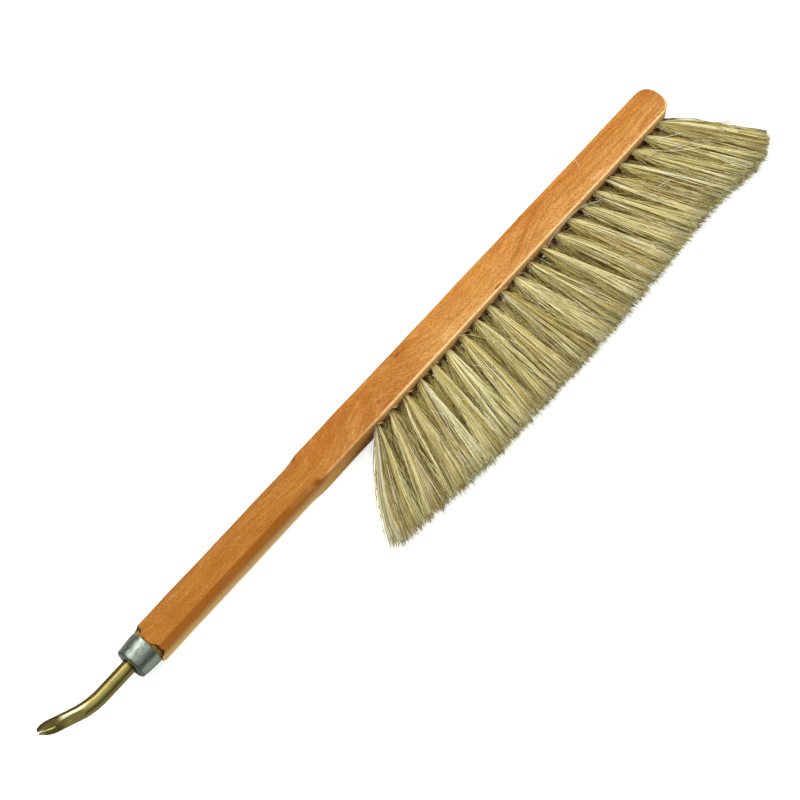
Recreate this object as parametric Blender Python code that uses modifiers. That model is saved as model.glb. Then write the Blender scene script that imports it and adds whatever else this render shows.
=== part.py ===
"""Bee brush: a square beech stock with two rows of hair tufts, a turned tenon
capped by a metal ferrule, and a bent claw hook for lifting hive frames.

Frame: X runs along the brush, the claw hook at -X and the rounded end at +X.
The hair points to -Y.  Z is up, and the stock rests on its lower face, z = 0.
The origin is the middle of that lower face.  Units are metres.
"""

import math

import bmesh
import bpy
from mathutils import Matrix, Vector

# ---------------------------------------------------------------- dimensions
STOCK_LENGTH = 0.419        # ferrule rim to the tip of the rounded end
STOCK_SIZE = 0.020          # square section
END_RADIUS = 0.010          # rounded end, seen from above
END_STEPS = 18
ARRIS = 0.0008              # softened edges of the square head

RIM_X = -STOCK_LENGTH / 2   # the ferrule rim
HALF = STOCK_SIZE / 2
AXIS_Z = HALF               # height of the turned parts' axis

# Handle
CHAMFER = 0.0033            # leg of each chamfer
CHAMFER_STOP = 0.1235       # where the chamfers run out, from the ferrule rim
HANDLE_INSET = 0.0005       # planed off the handle, on the side away from the hair
PLANE_STOP = CHAMFER_STOP - 0.0015
RUN_OUT_R = 0.033           # radius in which the chamfers and the planing run out
HANDLE_CUT_START = RIM_X - 0.020  # the cutters begin clear of the tenon

# Turned tenon and neck; x values run from the ferrule rim toward the round end
SHOULDER_X = 0.0003
SHOULDER_R = 0.01025        # turned neck next to the ferrule rim
SHOULDER_FLAT = 0.0012      # where the straight part of that neck ends
COVE_R = 0.0021             # cove that ends it on the four chamfered corners
COVE_ANGLE = math.radians(86.0)
COVE_STEPS = 6
TENON_R_BASE = 0.0090       # tenon inside the ferrule, at its shoulder
TENON_R_END = 0.0082
TENON_LENGTH = 0.0115
TENON_NOSE = 0.0015         # bevel at the tenon's end
WASTE_R = 0.020             # outside of the turned waste, clear of the stock
ROUND_STEPS = 40

# Ferrule
FERRULE_LENGTH = 0.0125
FERRULE_R_RIM = 0.0099
FERRULE_R_FRONT = 0.0091
FERRULE_TAPER_POWER = 1.6   # above 1, the taper steepens away from the rim
FERRULE_TAPER_STEPS = 4
FERRULE_CORNER_R = 0.0014
FERRULE_CORNER_STEPS = 5
FERRULE_WALL = 0.0006

# Claw hook; lengths run along the bar
ROD_R = 0.0040              # round steel bar
ROD_HOLE_R = 0.00435        # its hole in the ferrule and in the tenon
TANG_DEPTH = 0.0240         # how far the bar runs past the ferrule rim
TANG_POINT = 0.005          # drawn-down point of the tang
TANG_POINT_SCALE = 0.35     # its end radius, as a share of the bar's
BEND_START = 0.0325         # from the ferrule rim
BEND_R = 0.042
BEND_ANGLE = math.radians(21.6)
BEND_END = BEND_START + BEND_R * BEND_ANGLE
BEND_STEPS = 8
CLAW_LENGTH = 0.0208        # straight part after the bend
BAR_END = BEND_END + CLAW_LENGTH
FACET_LENGTH = 0.0250       # forged flat that thins the claw
FACET_START = BAR_END - FACET_LENGTH
FACET_TURN = math.radians(30.0)   # the flat faces up and partly to the hair side
FACET_LINEAR_SHARE = 0.45   # the rest of its deepening eases in and out
CLAW_THICKNESS = 0.0016
CLAW_WAIST = 0.07           # share of the width drawn in along the flat
CLAW_ROUNDING = 0.0075      # length over which the tip is rounded off
CLAW_TIP_WIDTH = 0.34       # width left at the tip, as a share
CLAW_ROUNDING_POWER = 2.2
CLAW_STEPS = 14
NOTCH_DEPTH = 0.0090
NOTCH_ROOT_HALF = 0.00012   # half width of the notch at its root
NOTCH_OVERRUN = 0.002       # how far its cutter runs past the tip
NOTCH_OUTER_HALF = 0.000915  # half width of the cutter at that outer end
BAR_POINTS = 28             # points round the bar
FLAT_POINTS = 4             # of which the flat's width takes this many steps
FLAT_EDGE = math.pi * FLAT_POINTS / BAR_POINTS  # where the flat's edges first show

# Tufts and their holes
TUFTS_PER_ROW = 22
TUFT_PITCH = 0.01148
ROWS = (
    # name, first tuft from the ferrule rim, height, side it splays to
    ("upper", 0.1652, 0.013, 1.0),
    ("lower", 0.1724, 0.007, -1.0),
)
HOLE_R = 0.00225
HOLE_DEPTH = 0.0120
DRILL_OVERRUN = 0.003       # drill left standing out of the hole's mouth
FAN_ENDS = math.radians(26.5)     # lean of the first and last tufts
FAN_MIDDLE = math.radians(3.0)    # added lean, greatest midway along the row
FAN_SKEW = math.radians(8.0)      # added fanning midway, taken off at the ends
TRIM_LINE = 0.0575          # hair length in the middle of the brush
TRIM_FOLLOW = 0.8           # how far leaning tufts are left longer: 1 = straight
TUFT_GAP = 0.0004           # left between neighbouring tufts
TUFT_ROOT_R = 0.0019
TUFT_HALF_DEPTH = 0.0038    # at the trimmed end, across the rows
TUFT_SPLAY = 0.0014         # shift of each row away from the other at the end
TUFT_SIDES = 10

# Local Z of the turned parts is world +X, from the ferrule rim
TURNING_FRAME = Matrix.Translation((RIM_X, 0.0, AXIS_Z)) @ Matrix.Rotation(
    math.radians(90), 4, "Y"
)
STOCK_FRAME = Matrix.Translation((0.0, 0.0, AXIS_Z))


# ------------------------------------------------------------------- helpers
def new_collection(name):
    collection = bpy.data.collections.new(name)
    bpy.context.scene.collection.children.link(collection)
    return collection


def material(name, colour, roughness, metallic=0.0):
    mat = bpy.data.materials.new(name)
    mat.use_nodes = True
    shader = mat.node_tree.nodes["Principled BSDF"]
    shader.inputs["Base Color"].default_value = (*colour, 1.0)
    shader.inputs["Roughness"].default_value = roughness
    shader.inputs["Metallic"].default_value = metallic
    mat.diffuse_color = (*colour, 1.0)
    return mat


def add_object(name, mesh, mat=None, frame=None):
    """Adds a part of the brush or, if no material is given, a hidden cutter."""
    ob = bpy.data.objects.new(name, mesh)
    if mat is None:
        cutters.objects.link(ob)
        ob.hide_render = True
        ob.display_type = "WIRE"
    else:
        parts.objects.link(ob)
        mesh.materials.append(mat)
    if frame is not None:
        ob.matrix_world = frame
    return ob


def mesh_from(bm, name):
    bmesh.ops.recalc_face_normals(bm, faces=bm.faces)
    mesh = bpy.data.meshes.new(name)
    bm.to_mesh(mesh)
    bm.free()
    return mesh


def evaluated_mesh(ob, name):
    """The object's shape with its modifiers applied, welded and closed."""
    bpy.context.view_layer.update()
    graph = bpy.context.evaluated_depsgraph_get()
    mesh = bpy.data.meshes.new_from_object(ob.evaluated_get(graph), depsgraph=graph)
    mesh.name = name
    bm = bmesh.new()
    bm.from_mesh(mesh)
    bmesh.ops.remove_doubles(bm, verts=bm.verts, dist=1e-6)
    bmesh.ops.recalc_face_normals(bm, faces=bm.faces)
    bm.to_mesh(mesh)
    bm.free()
    return mesh


def flat_outline(name, points, thickness, frame, mat=None):
    """A closed flat outline given a thickness, as a mesh object."""
    curve = bpy.data.curves.new(name, "CURVE")
    curve.dimensions = "2D"
    curve.fill_mode = "BOTH"
    curve.extrude = thickness / 2
    spline = curve.splines.new("POLY")
    spline.points.add(len(points) - 1)
    for point, (x, y) in zip(spline.points, points):
        point.co = (x, y, 0.0, 1.0)
    spline.use_cyclic_u = True
    flat = bpy.data.objects.new(name, curve)
    bpy.context.scene.collection.objects.link(flat)
    mesh = evaluated_mesh(flat, name)
    # removed first, so that the mesh object can take the same name
    bpy.data.objects.remove(flat, do_unlink=True)
    bpy.data.curves.remove(curve)
    return add_object(name, mesh, mat, frame)


def turned(name, profile, mat=None):
    """A ring turned round the brush's axis.  profile is a closed loop of
    (distance toward the round end from the ferrule rim, radius)."""
    count = len(profile)
    mesh = bpy.data.meshes.new(name)
    mesh.from_pydata(
        [(radius, 0.0, x) for x, radius in profile],
        [(i, (i + 1) % count) for i in range(count)],
        [],
    )
    ob = add_object(name, mesh, mat, TURNING_FRAME)
    screw = ob.modifiers.new("Screw", "SCREW")
    screw.axis = "Z"
    screw.angle = math.tau
    screw.steps = screw.render_steps = ROUND_STEPS
    screw.use_merge_vertices = True
    screw.merge_threshold = 0.00001
    screw.use_smooth_shade = True
    return ob


def add_drill(bm, frame, start, end, radius, segments):
    """A cylinder on the frame's local Z, from start to end."""
    bmesh.ops.create_cone(
        bm,
        cap_ends=True,
        segments=segments,
        radius1=radius,
        radius2=radius,
        depth=end - start,
        matrix=frame @ Matrix.Translation((0.0, 0.0, (start + end) / 2)),
    )


def cut(target, cutter, name):
    boolean = target.modifiers.new(name, "BOOLEAN")
    boolean.operation = "DIFFERENCE"
    boolean.solver = "EXACT"
    boolean.object = cutter


def shade(mesh, degrees):
    """Smooth shading between edges sharper than the angle."""
    mesh.shade_smooth()
    mesh.set_sharp_from_angle(angle=math.radians(degrees))


def finish(ob, degrees):
    """Applies the modifiers and shades the result."""
    mesh = evaluated_mesh(ob, ob.name)
    ob.modifiers.clear()
    ob.data = mesh
    shade(mesh, degrees)


# --------------------------------------------------------------- tuft layout
def fan_angle(index):
    """Lean of a tuft toward the round end.  The holes are drilled in a fan
    that is widest in the middle and nearly parallel at the round end."""
    t = -1.0 + 2.0 * index / (TUFTS_PER_ROW - 1)
    bulge = 1.0 - t * t
    return FAN_ENDS * t + FAN_MIDDLE * bulge + FAN_SKEW * t * bulge


def tuft_frame(row_start, height, index):
    """Local Z points out along the tuft, local X along the brush, and local Y
    up; the origin is the middle of the hole's mouth."""
    lean = fan_angle(index)
    out = Vector((math.sin(lean), -math.cos(lean), 0.0))
    up = Vector((0.0, 0.0, 1.0))
    along = up.cross(out)
    rotation = Matrix((along, up, out)).transposed().to_4x4()
    mouth = Vector((RIM_X + row_start + TUFT_PITCH * index, -HALF, height))
    return Matrix.Translation(mouth) @ rotation


# --------------------------------------------------------------------- stock
def stock_blank(mat):
    """Square bar from the tenon's end, with a half-round end at +X."""
    tenon_end = RIM_X - TENON_LENGTH
    round_x = STOCK_LENGTH / 2 - END_RADIUS
    outline = [(tenon_end, -HALF), (round_x, -HALF)]
    for i in range(1, END_STEPS):
        a = -math.pi / 2 + math.pi * i / END_STEPS
        outline.append((round_x + END_RADIUS * math.cos(a), END_RADIUS * math.sin(a)))
    outline += [(round_x, HALF), (tenon_end, HALF)]
    blank = flat_outline("wooden_stock", outline, STOCK_SIZE, STOCK_FRAME, mat)
    arris = blank.modifiers.new("Arris", "BEVEL")
    arris.width = ARRIS
    arris.segments = 2
    arris.limit_method = "ANGLE"
    arris.angle_limit = math.radians(60)
    return blank


def run_out_outline(level, full_end, arc_run, steps, top):
    """Side view of a handle cutter: its edge lies at level as far as full_end,
    then rises in an arc for arc_run along the brush."""
    outline = [(HANDLE_CUT_START, level), (full_end, level)]
    last_angle = math.asin(arc_run / RUN_OUT_R)
    for i in range(1, steps + 1):
        a = last_angle * i / steps
        outline.append(
            (
                full_end + RUN_OUT_R * math.sin(a),
                level + RUN_OUT_R * (1.0 - math.cos(a)),
            )
        )
    outline += [(outline[-1][0], top), (HANDLE_CUT_START, top)]
    return outline


def cut_chamfers(stock):
    """Stopped chamfers on the handle's four corners, each run out in an arc."""
    overrun = 0.006
    corner = HALF * math.sqrt(2.0)
    level = corner - CHAMFER / math.sqrt(2.0)
    rise = corner - level
    run_out = math.sqrt(2.0 * RUN_OUT_R * rise - rise * rise)
    full_end = RIM_X + CHAMFER_STOP - run_out
    outline = run_out_outline(level, full_end, run_out + overrun, 10, corner + overrun)
    for i in range(4):
        turn = math.radians(45 + 90 * i)
        # the two corners away from the hair follow the planed side
        inset = HANDLE_INSET if math.cos(turn) > 0 else 0.0
        frame = Matrix.Translation((0.0, -inset, AXIS_Z)) @ Matrix.Rotation(turn, 4, "X")
        blade = flat_outline("chamfer_cutter_%d" % (i + 1), outline, 0.014, frame)
        cut(stock, blade, "Chamfer %d" % (i + 1))


def plane_handle(stock):
    """The side away from the hair is planed a little below the head."""
    run_out = math.sqrt(2.0 * RUN_OUT_R * HANDLE_INSET)
    outline = run_out_outline(
        level=HALF - HANDLE_INSET,
        full_end=RIM_X + PLANE_STOP - run_out,
        arc_run=run_out + 0.003,
        steps=6,
        top=HALF + 0.004,
    )
    cut(stock, flat_outline("plane_cutter", outline, 0.024, STOCK_FRAME), "Handle side")


def turn_tenon(stock):
    """A tenon for the ferrule, then a neck that ends in a cove, which bites
    only into the four chamfered corners."""
    waste = [
        (-TENON_LENGTH - 0.003, WASTE_R),
        (-TENON_LENGTH - 0.003, TENON_R_END - TENON_NOSE),
        (-TENON_LENGTH, TENON_R_END - TENON_NOSE),
        (-TENON_LENGTH + TENON_NOSE, TENON_R_END),
        (SHOULDER_X, TENON_R_BASE),
        (SHOULDER_X, SHOULDER_R),
        (SHOULDER_FLAT, SHOULDER_R),
    ]
    for i in range(1, COVE_STEPS + 1):
        a = COVE_ANGLE * i / COVE_STEPS
        waste.append(
            (
                SHOULDER_FLAT + COVE_R * math.sin(a),
                SHOULDER_R + COVE_R * (1.0 - math.cos(a)),
            )
        )
    waste.append((waste[-1][0] + 0.0002, WASTE_R))
    cut(stock, turned("turning_waste", waste), "Turned tenon")


def drill_tang_hole(stock):
    bm = bmesh.new()
    start = -TENON_LENGTH - 0.004
    add_drill(bm, TURNING_FRAME, start, TANG_DEPTH + 0.0006, ROD_HOLE_R, segments=24)
    cut(stock, add_object("tang_drill", mesh_from(bm, "tang_drill")), "Tang hole")


def drill_tuft_holes(stock):
    """Blind holes, drilled in a fan."""
    bm = bmesh.new()
    for _, row_start, height, _ in ROWS:
        for i in range(TUFTS_PER_ROW):
            frame = tuft_frame(row_start, height, i)
            add_drill(bm, frame, -HOLE_DEPTH, DRILL_OVERRUN, HOLE_R, segments=12)
    cut(stock, add_object("tuft_drill", mesh_from(bm, "tuft_drill")), "Tuft holes")


def build_stock(mat):
    stock = stock_blank(mat)
    cut_chamfers(stock)
    plane_handle(stock)
    turn_tenon(stock)
    drill_tang_hole(stock)
    drill_tuft_holes(stock)
    finish(stock, 28.0)


# ------------------------------------------------------------------- ferrule
def ferrule_side(inset):
    """Points from the rim to the bar's hole, on a wall inset from outside."""
    corner_x = -FERRULE_LENGTH + FERRULE_CORNER_R
    corner_r = FERRULE_R_FRONT - FERRULE_CORNER_R
    bend_r = FERRULE_CORNER_R - inset
    side = []
    for i in range(FERRULE_TAPER_STEPS):
        t = i / FERRULE_TAPER_STEPS
        taper = (FERRULE_R_RIM - FERRULE_R_FRONT) * t ** FERRULE_TAPER_POWER
        side.append((corner_x * t, FERRULE_R_RIM - inset - taper))
    for i in range(FERRULE_CORNER_STEPS + 1):
        a = math.radians(90.0) * i / FERRULE_CORNER_STEPS
        side.append((corner_x - bend_r * math.sin(a), corner_r + bend_r * math.cos(a)))
    side.append((corner_x - bend_r, ROD_HOLE_R))
    return side


def build_ferrule(mat):
    """A thin cap over the tenon, open at its rim and holed for the bar."""
    wall = ferrule_side(0.0) + ferrule_side(FERRULE_WALL)[::-1]
    finish(turned("ferrule", wall, mat), 40.0)


# ----------------------------------------------------------------- claw hook
def hook_axis(s):
    """Point and heading at a distance s from the ferrule rim, along the bar."""
    if s <= BEND_START:
        return Vector((-s, 0.0, 0.0)), 0.0
    if s <= BEND_END:
        a = (s - BEND_START) / BEND_R
        x = -BEND_START - BEND_R * math.sin(a)
        return Vector((x, BEND_R * (1 - math.cos(a)), 0.0)), a
    bend_end, _ = hook_axis(BEND_END)
    direction = Vector((-math.cos(BEND_ANGLE), math.sin(BEND_ANGLE), 0.0))
    return bend_end + direction * (s - BEND_END), BEND_ANGLE


def bar_section(s):
    """(radius, angle from the flat's middle to its edge) at s."""
    radius, edge = ROD_R, FLAT_EDGE
    if s < -TANG_DEPTH + TANG_POINT:
        t = (s + TANG_DEPTH) / TANG_POINT
        radius = ROD_R * (TANG_POINT_SCALE + (1.0 - TANG_POINT_SCALE) * t)
    left = BAR_END - s
    if left < FACET_LENGTH:
        t = 1.0 - left / FACET_LENGTH
        smooth = t * t * (3.0 - 2.0 * t)
        ease = FACET_LINEAR_SHARE * t + (1.0 - FACET_LINEAR_SHARE) * smooth
        # height of the flat over the bar's axis, as a share of its radius
        first = math.cos(FLAT_EDGE)
        last = -1.0 + CLAW_THICKNESS / ROD_R
        edge = math.acos(first + (last - first) * ease)
    return radius, edge


def claw_width(left):
    """Share of the full width, at a distance left to the tip.  The claw is
    drawn in slightly along its flat, and rounded off to the two points."""
    width = 1.0
    if left < FACET_LENGTH:
        t = 1.0 - left / FACET_LENGTH
        width -= CLAW_WAIST * math.sin(math.pi * t) * (1.0 - t)
    if left < CLAW_ROUNDING:
        t = 1.0 - left / CLAW_ROUNDING
        rounding = math.sqrt(max(0.0, 1.0 - t ** CLAW_ROUNDING_POWER))
        width *= CLAW_TIP_WIDTH + (1.0 - CLAW_TIP_WIDTH) * rounding
    return width


def hook_stations():
    """Distances along the bar, closer together toward the tip."""
    stations = [-TANG_DEPTH, -TANG_DEPTH + TANG_POINT, 0.0, 0.016, BEND_START]
    stations += [
        BEND_START + BEND_R * BEND_ANGLE * i / BEND_STEPS for i in range(1, BEND_STEPS)
    ]
    # the flat begins within the bend and has its own stations
    stations = [s for s in stations if s < FACET_START - 0.001]
    stations += [FACET_START + FACET_LENGTH * i / CLAW_STEPS for i in range(CLAW_STEPS)]
    stations.append(FACET_START + 0.0008)
    stations += [BAR_END - left for left in (0.0044, 0.0028, 0.0016, 0.0008, 0.0003, 0.0)]
    return sorted(set(round(s, 6) for s in stations))


def hook_ring(bm, s):
    """The vertices round the bar at s, the flat's first."""
    centre, heading = hook_axis(s)
    side = Vector((math.sin(heading), math.cos(heading), 0.0))
    up = Vector((0.0, 0.0, 1.0))
    flat_out = up * math.cos(FACET_TURN) - side * math.sin(FACET_TURN)
    flat_side = side * math.cos(FACET_TURN) + up * math.sin(FACET_TURN)
    radius, edge = bar_section(s)
    width = claw_width(BAR_END - s)
    forged = BAR_END - s < FACET_LENGTH - 1e-6
    ring = []
    for i in range(BAR_POINTS):
        if i <= FLAT_POINTS:
            # across the flat, or over the top of the round bar before it
            t = 2.0 * i / FLAT_POINTS - 1.0
            if forged:
                across, out = radius * math.sin(edge) * t, radius * math.cos(edge)
            else:
                across, out = radius * math.sin(edge * t), radius * math.cos(edge * t)
        else:
            t = (i - FLAT_POINTS) / (BAR_POINTS - FLAT_POINTS)
            a = edge + (math.tau - 2.0 * edge) * t
            across, out = radius * math.sin(a), radius * math.cos(a)
        point = centre + flat_side * (across * width) + flat_out * out
        ring.append(bm.verts.new((RIM_X + point.x, point.y, AXIS_Z + point.z)))
    return ring


def cut_notch(hook):
    """V notch, open at the claw's tip and cut square to its flat."""
    tip, heading = hook_axis(BAR_END)
    outline = [
        (-NOTCH_DEPTH, -NOTCH_ROOT_HALF),
        (NOTCH_OVERRUN, -NOTCH_OUTER_HALF),
        (NOTCH_OVERRUN, NOTCH_OUTER_HALF),
        (-NOTCH_DEPTH, NOTCH_ROOT_HALF),
    ]
    frame = (
        Matrix.Translation((RIM_X + tip.x, tip.y, AXIS_Z + tip.z))
        @ Matrix.Rotation(math.pi - heading, 4, "Z")
        @ Matrix.Rotation(-FACET_TURN, 4, "X")
    )
    cut(hook, flat_outline("notch_cutter", outline, 0.016, frame), "Notch")


def build_hook(mat):
    """One round bar: a tang with a drawn-down point, a straight shank, a bend
    to the side away from the hair, and a forged claw with a V notch."""
    bm = bmesh.new()
    rings = [hook_ring(bm, s) for s in hook_stations()]
    for ring, following in zip(rings, rings[1:]):
        for i in range(BAR_POINTS):
            j = (i + 1) % BAR_POINTS
            bm.faces.new((ring[i], ring[j], following[j], following[i]))
    bm.faces.new(rings[0][::-1])
    bm.faces.new(rings[-1])
    hook = add_object("claw_hook", mesh_from(bm, "claw_hook"), mat)
    cut_notch(hook)
    finish(hook, 35.0)


# --------------------------------------------------------------------- tufts
def tuft_mesh(name, length, half_width, splay):
    """A bundle of hair: round in its hole, and spreading to a flat oval at
    the trim line."""
    sections = [
        # distance out, half width, half depth, shift
        (-HOLE_DEPTH + 0.0006, TUFT_ROOT_R * 0.8, TUFT_ROOT_R * 0.8, 0.0),
        (-HOLE_DEPTH + 0.0014, TUFT_ROOT_R, TUFT_ROOT_R, 0.0),
        (0.0005, TUFT_ROOT_R, TUFT_ROOT_R, 0.0),
        (0.25 * length, half_width * 0.56, TUFT_HALF_DEPTH * 0.68, 0.22 * splay),
        (0.60 * length, half_width * 0.84, TUFT_HALF_DEPTH * 0.90, 0.62 * splay),
        (length, half_width, TUFT_HALF_DEPTH, splay),
    ]
    bm = bmesh.new()
    bmesh.ops.create_circle(bm, cap_ends=True, radius=1.0, segments=TUFT_SIDES)
    face = bm.faces[:][0]
    last_width, last_depth, last_shift = 1.0, 1.0, 0.0
    for k, (out, width, depth, shift) in enumerate(sections):
        if k:
            old_face = face
            grown = bmesh.ops.extrude_face_region(bm, geom=[old_face])["geom"]
            face = next(g for g in grown if isinstance(g, bmesh.types.BMFace))
            # the first face stays as the root's cap; later ones would lie inside
            if k > 1:
                bmesh.ops.delete(bm, geom=[old_face], context="FACES_ONLY")
        for vert in face.verts:
            vert.co = Vector(
                (
                    vert.co.x * width / last_width,
                    (vert.co.y - last_shift) * depth / last_depth + shift,
                    out,
                )
            )
        last_width, last_depth, last_shift = width, depth, shift
    mesh = mesh_from(bm, name)
    shade(mesh, 50)
    return mesh


def build_tuft(row, row_start, height, side, index, mat):
    lean = fan_angle(index)
    length = TRIM_LINE / math.cos(lean) ** TRIM_FOLLOW
    # neighbouring tufts part by the difference of their leans
    partings = []
    if index < TUFTS_PER_ROW - 1:
        partings.append(fan_angle(index + 1) - lean)
    if index:
        partings.append(lean - fan_angle(index - 1))
    spacing = TUFT_PITCH * math.cos(lean) + length * min(partings)
    name = "tuft_%s_%02d" % (row, index + 1)
    mesh = tuft_mesh(name, length, (spacing - TUFT_GAP) / 2, TUFT_SPLAY * side)
    add_object(name, mesh, mat, tuft_frame(row_start, height, index))


# --------------------------------------------------------------------- build
for old in list(bpy.data.objects):
    bpy.data.objects.remove(old, do_unlink=True)

parts = new_collection("bee_brush")
cutters = new_collection("cutters")

beech = material("varnished_beech", colour=(0.56, 0.25, 0.08), roughness=0.35)
aluminium = material(
    "dull_aluminium", colour=(0.55, 0.58, 0.55), roughness=0.38, metallic=1.0
)
yellow_zinc = material(
    "yellow_zinc_steel", colour=(0.48, 0.38, 0.14), roughness=0.28, metallic=1.0
)
horsehair = material("horsehair", colour=(0.46, 0.38, 0.22), roughness=0.7)

build_stock(beech)
build_ferrule(aluminium)
build_hook(yellow_zinc)
for row, row_start, height, side in ROWS:
    for i in range(TUFTS_PER_ROW):
        build_tuft(row, row_start, height, side, i, horsehair)
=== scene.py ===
"""A bee brush: a wooden stock with two rows of horsehair tufts, an aluminium
ferrule and a steel claw hook.

Frame: X along the brush (claw at -X, rounded end at +X), hair toward -Y, Z up,
the stock resting on z = 0.  Lengths are in millimetres unless said otherwise.
XS, or "along", is a distance along X from the ferrule's rim.
"""

import math

import bmesh
import bpy
import numpy as np
from mathutils import Matrix, Vector


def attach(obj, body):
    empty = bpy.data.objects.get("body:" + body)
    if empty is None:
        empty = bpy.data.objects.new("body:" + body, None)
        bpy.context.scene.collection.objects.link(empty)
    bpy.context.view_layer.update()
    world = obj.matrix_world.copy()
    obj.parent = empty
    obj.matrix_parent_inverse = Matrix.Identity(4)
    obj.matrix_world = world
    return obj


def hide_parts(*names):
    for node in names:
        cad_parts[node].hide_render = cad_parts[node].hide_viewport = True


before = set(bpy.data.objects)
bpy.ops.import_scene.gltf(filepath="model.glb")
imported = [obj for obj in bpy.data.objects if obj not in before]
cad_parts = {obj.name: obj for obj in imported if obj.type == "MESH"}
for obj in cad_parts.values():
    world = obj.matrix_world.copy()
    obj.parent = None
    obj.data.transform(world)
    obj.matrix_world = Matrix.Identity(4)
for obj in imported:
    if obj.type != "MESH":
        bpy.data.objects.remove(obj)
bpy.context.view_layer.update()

MM = 0.001
SCENE = bpy.context.scene
SCENE.view_settings.view_transform = "Standard"
SCENE.cycles.denoising_prefilter = "NONE"      # keeps single hairs apart

# ----------------------------------------------------------------- main sizes
STOCK_LENGTH = 419.0
STOCK_WIDTH = 20.0
HALF = STOCK_WIDTH / 2
END_RADIUS = 10.0
RIM_X = -STOCK_LENGTH / 2
AXIS_Z = HALF
ROWS = ("upper", "lower")
TUFTS = 22                      # in each row
ROD_RADIUS = 4.0
ROD_HOLE = 4.35                 # radius of the rod's hole in ferrule and stock
BEND_START = 32.5               # the hook's straight shank, from the rim
BEND_RADIUS = 42.0


# --------------------------------------------------------------- mesh helpers
def link(ob):
    SCENE.collection.objects.link(ob)
    return ob


def object_from(bm, name, materials=(), sharp_above=None):
    """A new object from a bmesh in metres; edges over sharp_above degrees
    stay sharp, and without it the faces stay flat."""
    mesh = bpy.data.meshes.new(name)
    bm.to_mesh(mesh)
    bm.free()
    for material in materials:
        mesh.materials.append(material)
    if sharp_above is not None:
        mesh.shade_smooth()
        mesh.set_sharp_from_angle(angle=math.radians(sharp_above))
    return link(bpy.data.objects.new(name, mesh))


def outward(bm):
    bmesh.ops.recalc_face_normals(bm, faces=bm.faces)


def join_rings(bm, rings, wrap=False):
    """Quads between neighbouring closed rings; wrap joins the last to the first."""
    faces = []
    for ring, other in zip(rings, rings[1:] + (rings[:1] if wrap else [])):
        for i in range(len(ring)):
            j = (i + 1) % len(ring)
            faces.append(bm.faces.new((ring[i], ring[j], other[j], other[i])))
    return faces


def prism(name, outline, thickness, matrix):
    """A flat outline with a thickness, centred on its plane."""
    bm = bmesh.new()
    ring = [bm.verts.new((x * MM, y * MM, -thickness / 2 * MM)) for x, y in outline]
    base = bm.faces.new(ring)
    grown = bmesh.ops.extrude_face_region(bm, geom=[base])["geom"]
    top = [g for g in grown if isinstance(g, bmesh.types.BMVert)]
    bmesh.ops.translate(bm, verts=top, vec=(0, 0, thickness * MM))
    outward(bm)
    bm.transform(matrix)
    return object_from(bm, name)


def lathe(profile, steps, wobble):
    """A closed loop of (XS, radius) turned round the brush's axis.
    wobble(k, along, radius, angle) moves each point."""
    bm = bmesh.new()
    rings = []
    for step in range(steps):
        angle = math.tau * step / steps
        ring = []
        for k, point in enumerate(profile):
            along, radius = wobble(k, *point, angle)
            x = RIM_X + along
            y = radius * math.sin(angle)
            z = AXIS_Z + radius * math.cos(angle)
            ring.append(bm.verts.new((x * MM, y * MM, z * MM)))
        rings.append(ring)
    join_rings(bm, rings, wrap=True)
    outward(bm)
    return bm


def cut(target, cutter):
    mod = target.modifiers.new("cut", "BOOLEAN")
    mod.operation = "DIFFERENCE"
    mod.solver = "EXACT"
    mod.material_mode = "TRANSFER"
    mod.object = cutter


def carved(body, cutters):
    """The body with its modifiers applied, as (bmesh, materials); the body
    and its cutters are removed."""
    bpy.context.view_layer.update()
    graph = bpy.context.evaluated_depsgraph_get()
    mesh = bpy.data.meshes.new_from_object(body.evaluated_get(graph), depsgraph=graph)
    mesh.transform(body.matrix_world)
    for ob in (body, *cutters):
        bpy.data.objects.remove(ob, do_unlink=True)
    bm = bmesh.new()
    bm.from_mesh(mesh)
    bmesh.ops.remove_doubles(bm, verts=bm.verts, dist=1e-6)
    outward(bm)
    return bm, list(mesh.materials)


def smooth_step(value):
    value = np.clip(value, 0.0, 1.0)
    return value * value * (3 - 2 * value)


def wave_noise(points, wavelength, seed):
    """Smooth noise, about -1 to 1: sine waves in seeded directions."""
    rng = np.random.default_rng(seed)
    out = np.zeros(len(points))
    total = 0.0
    for octave in range(2):
        frequency = 2.0 ** octave / wavelength
        weight = 0.6 ** octave
        for _ in range(5):
            way = rng.normal(size=3)
            way /= np.linalg.norm(way)
            phase = rng.uniform(0, math.tau)
            out += weight * np.sin(points @ way * frequency * math.tau + phase)
            total += weight * 0.45
    return out / total


def hand_over(piece, replaced=None):
    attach(piece, "root")
    if replaced:
        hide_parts(replaced)


# --------------------------------------------------------------- node helpers
def operator(operation, swapped=False):
    """A Signal method that adds one math node."""
    def method(self, *others):
        values = (*others, self) if swapped else (self, *others)
        return self.nodes.math(operation, *values)
    return method


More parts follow.
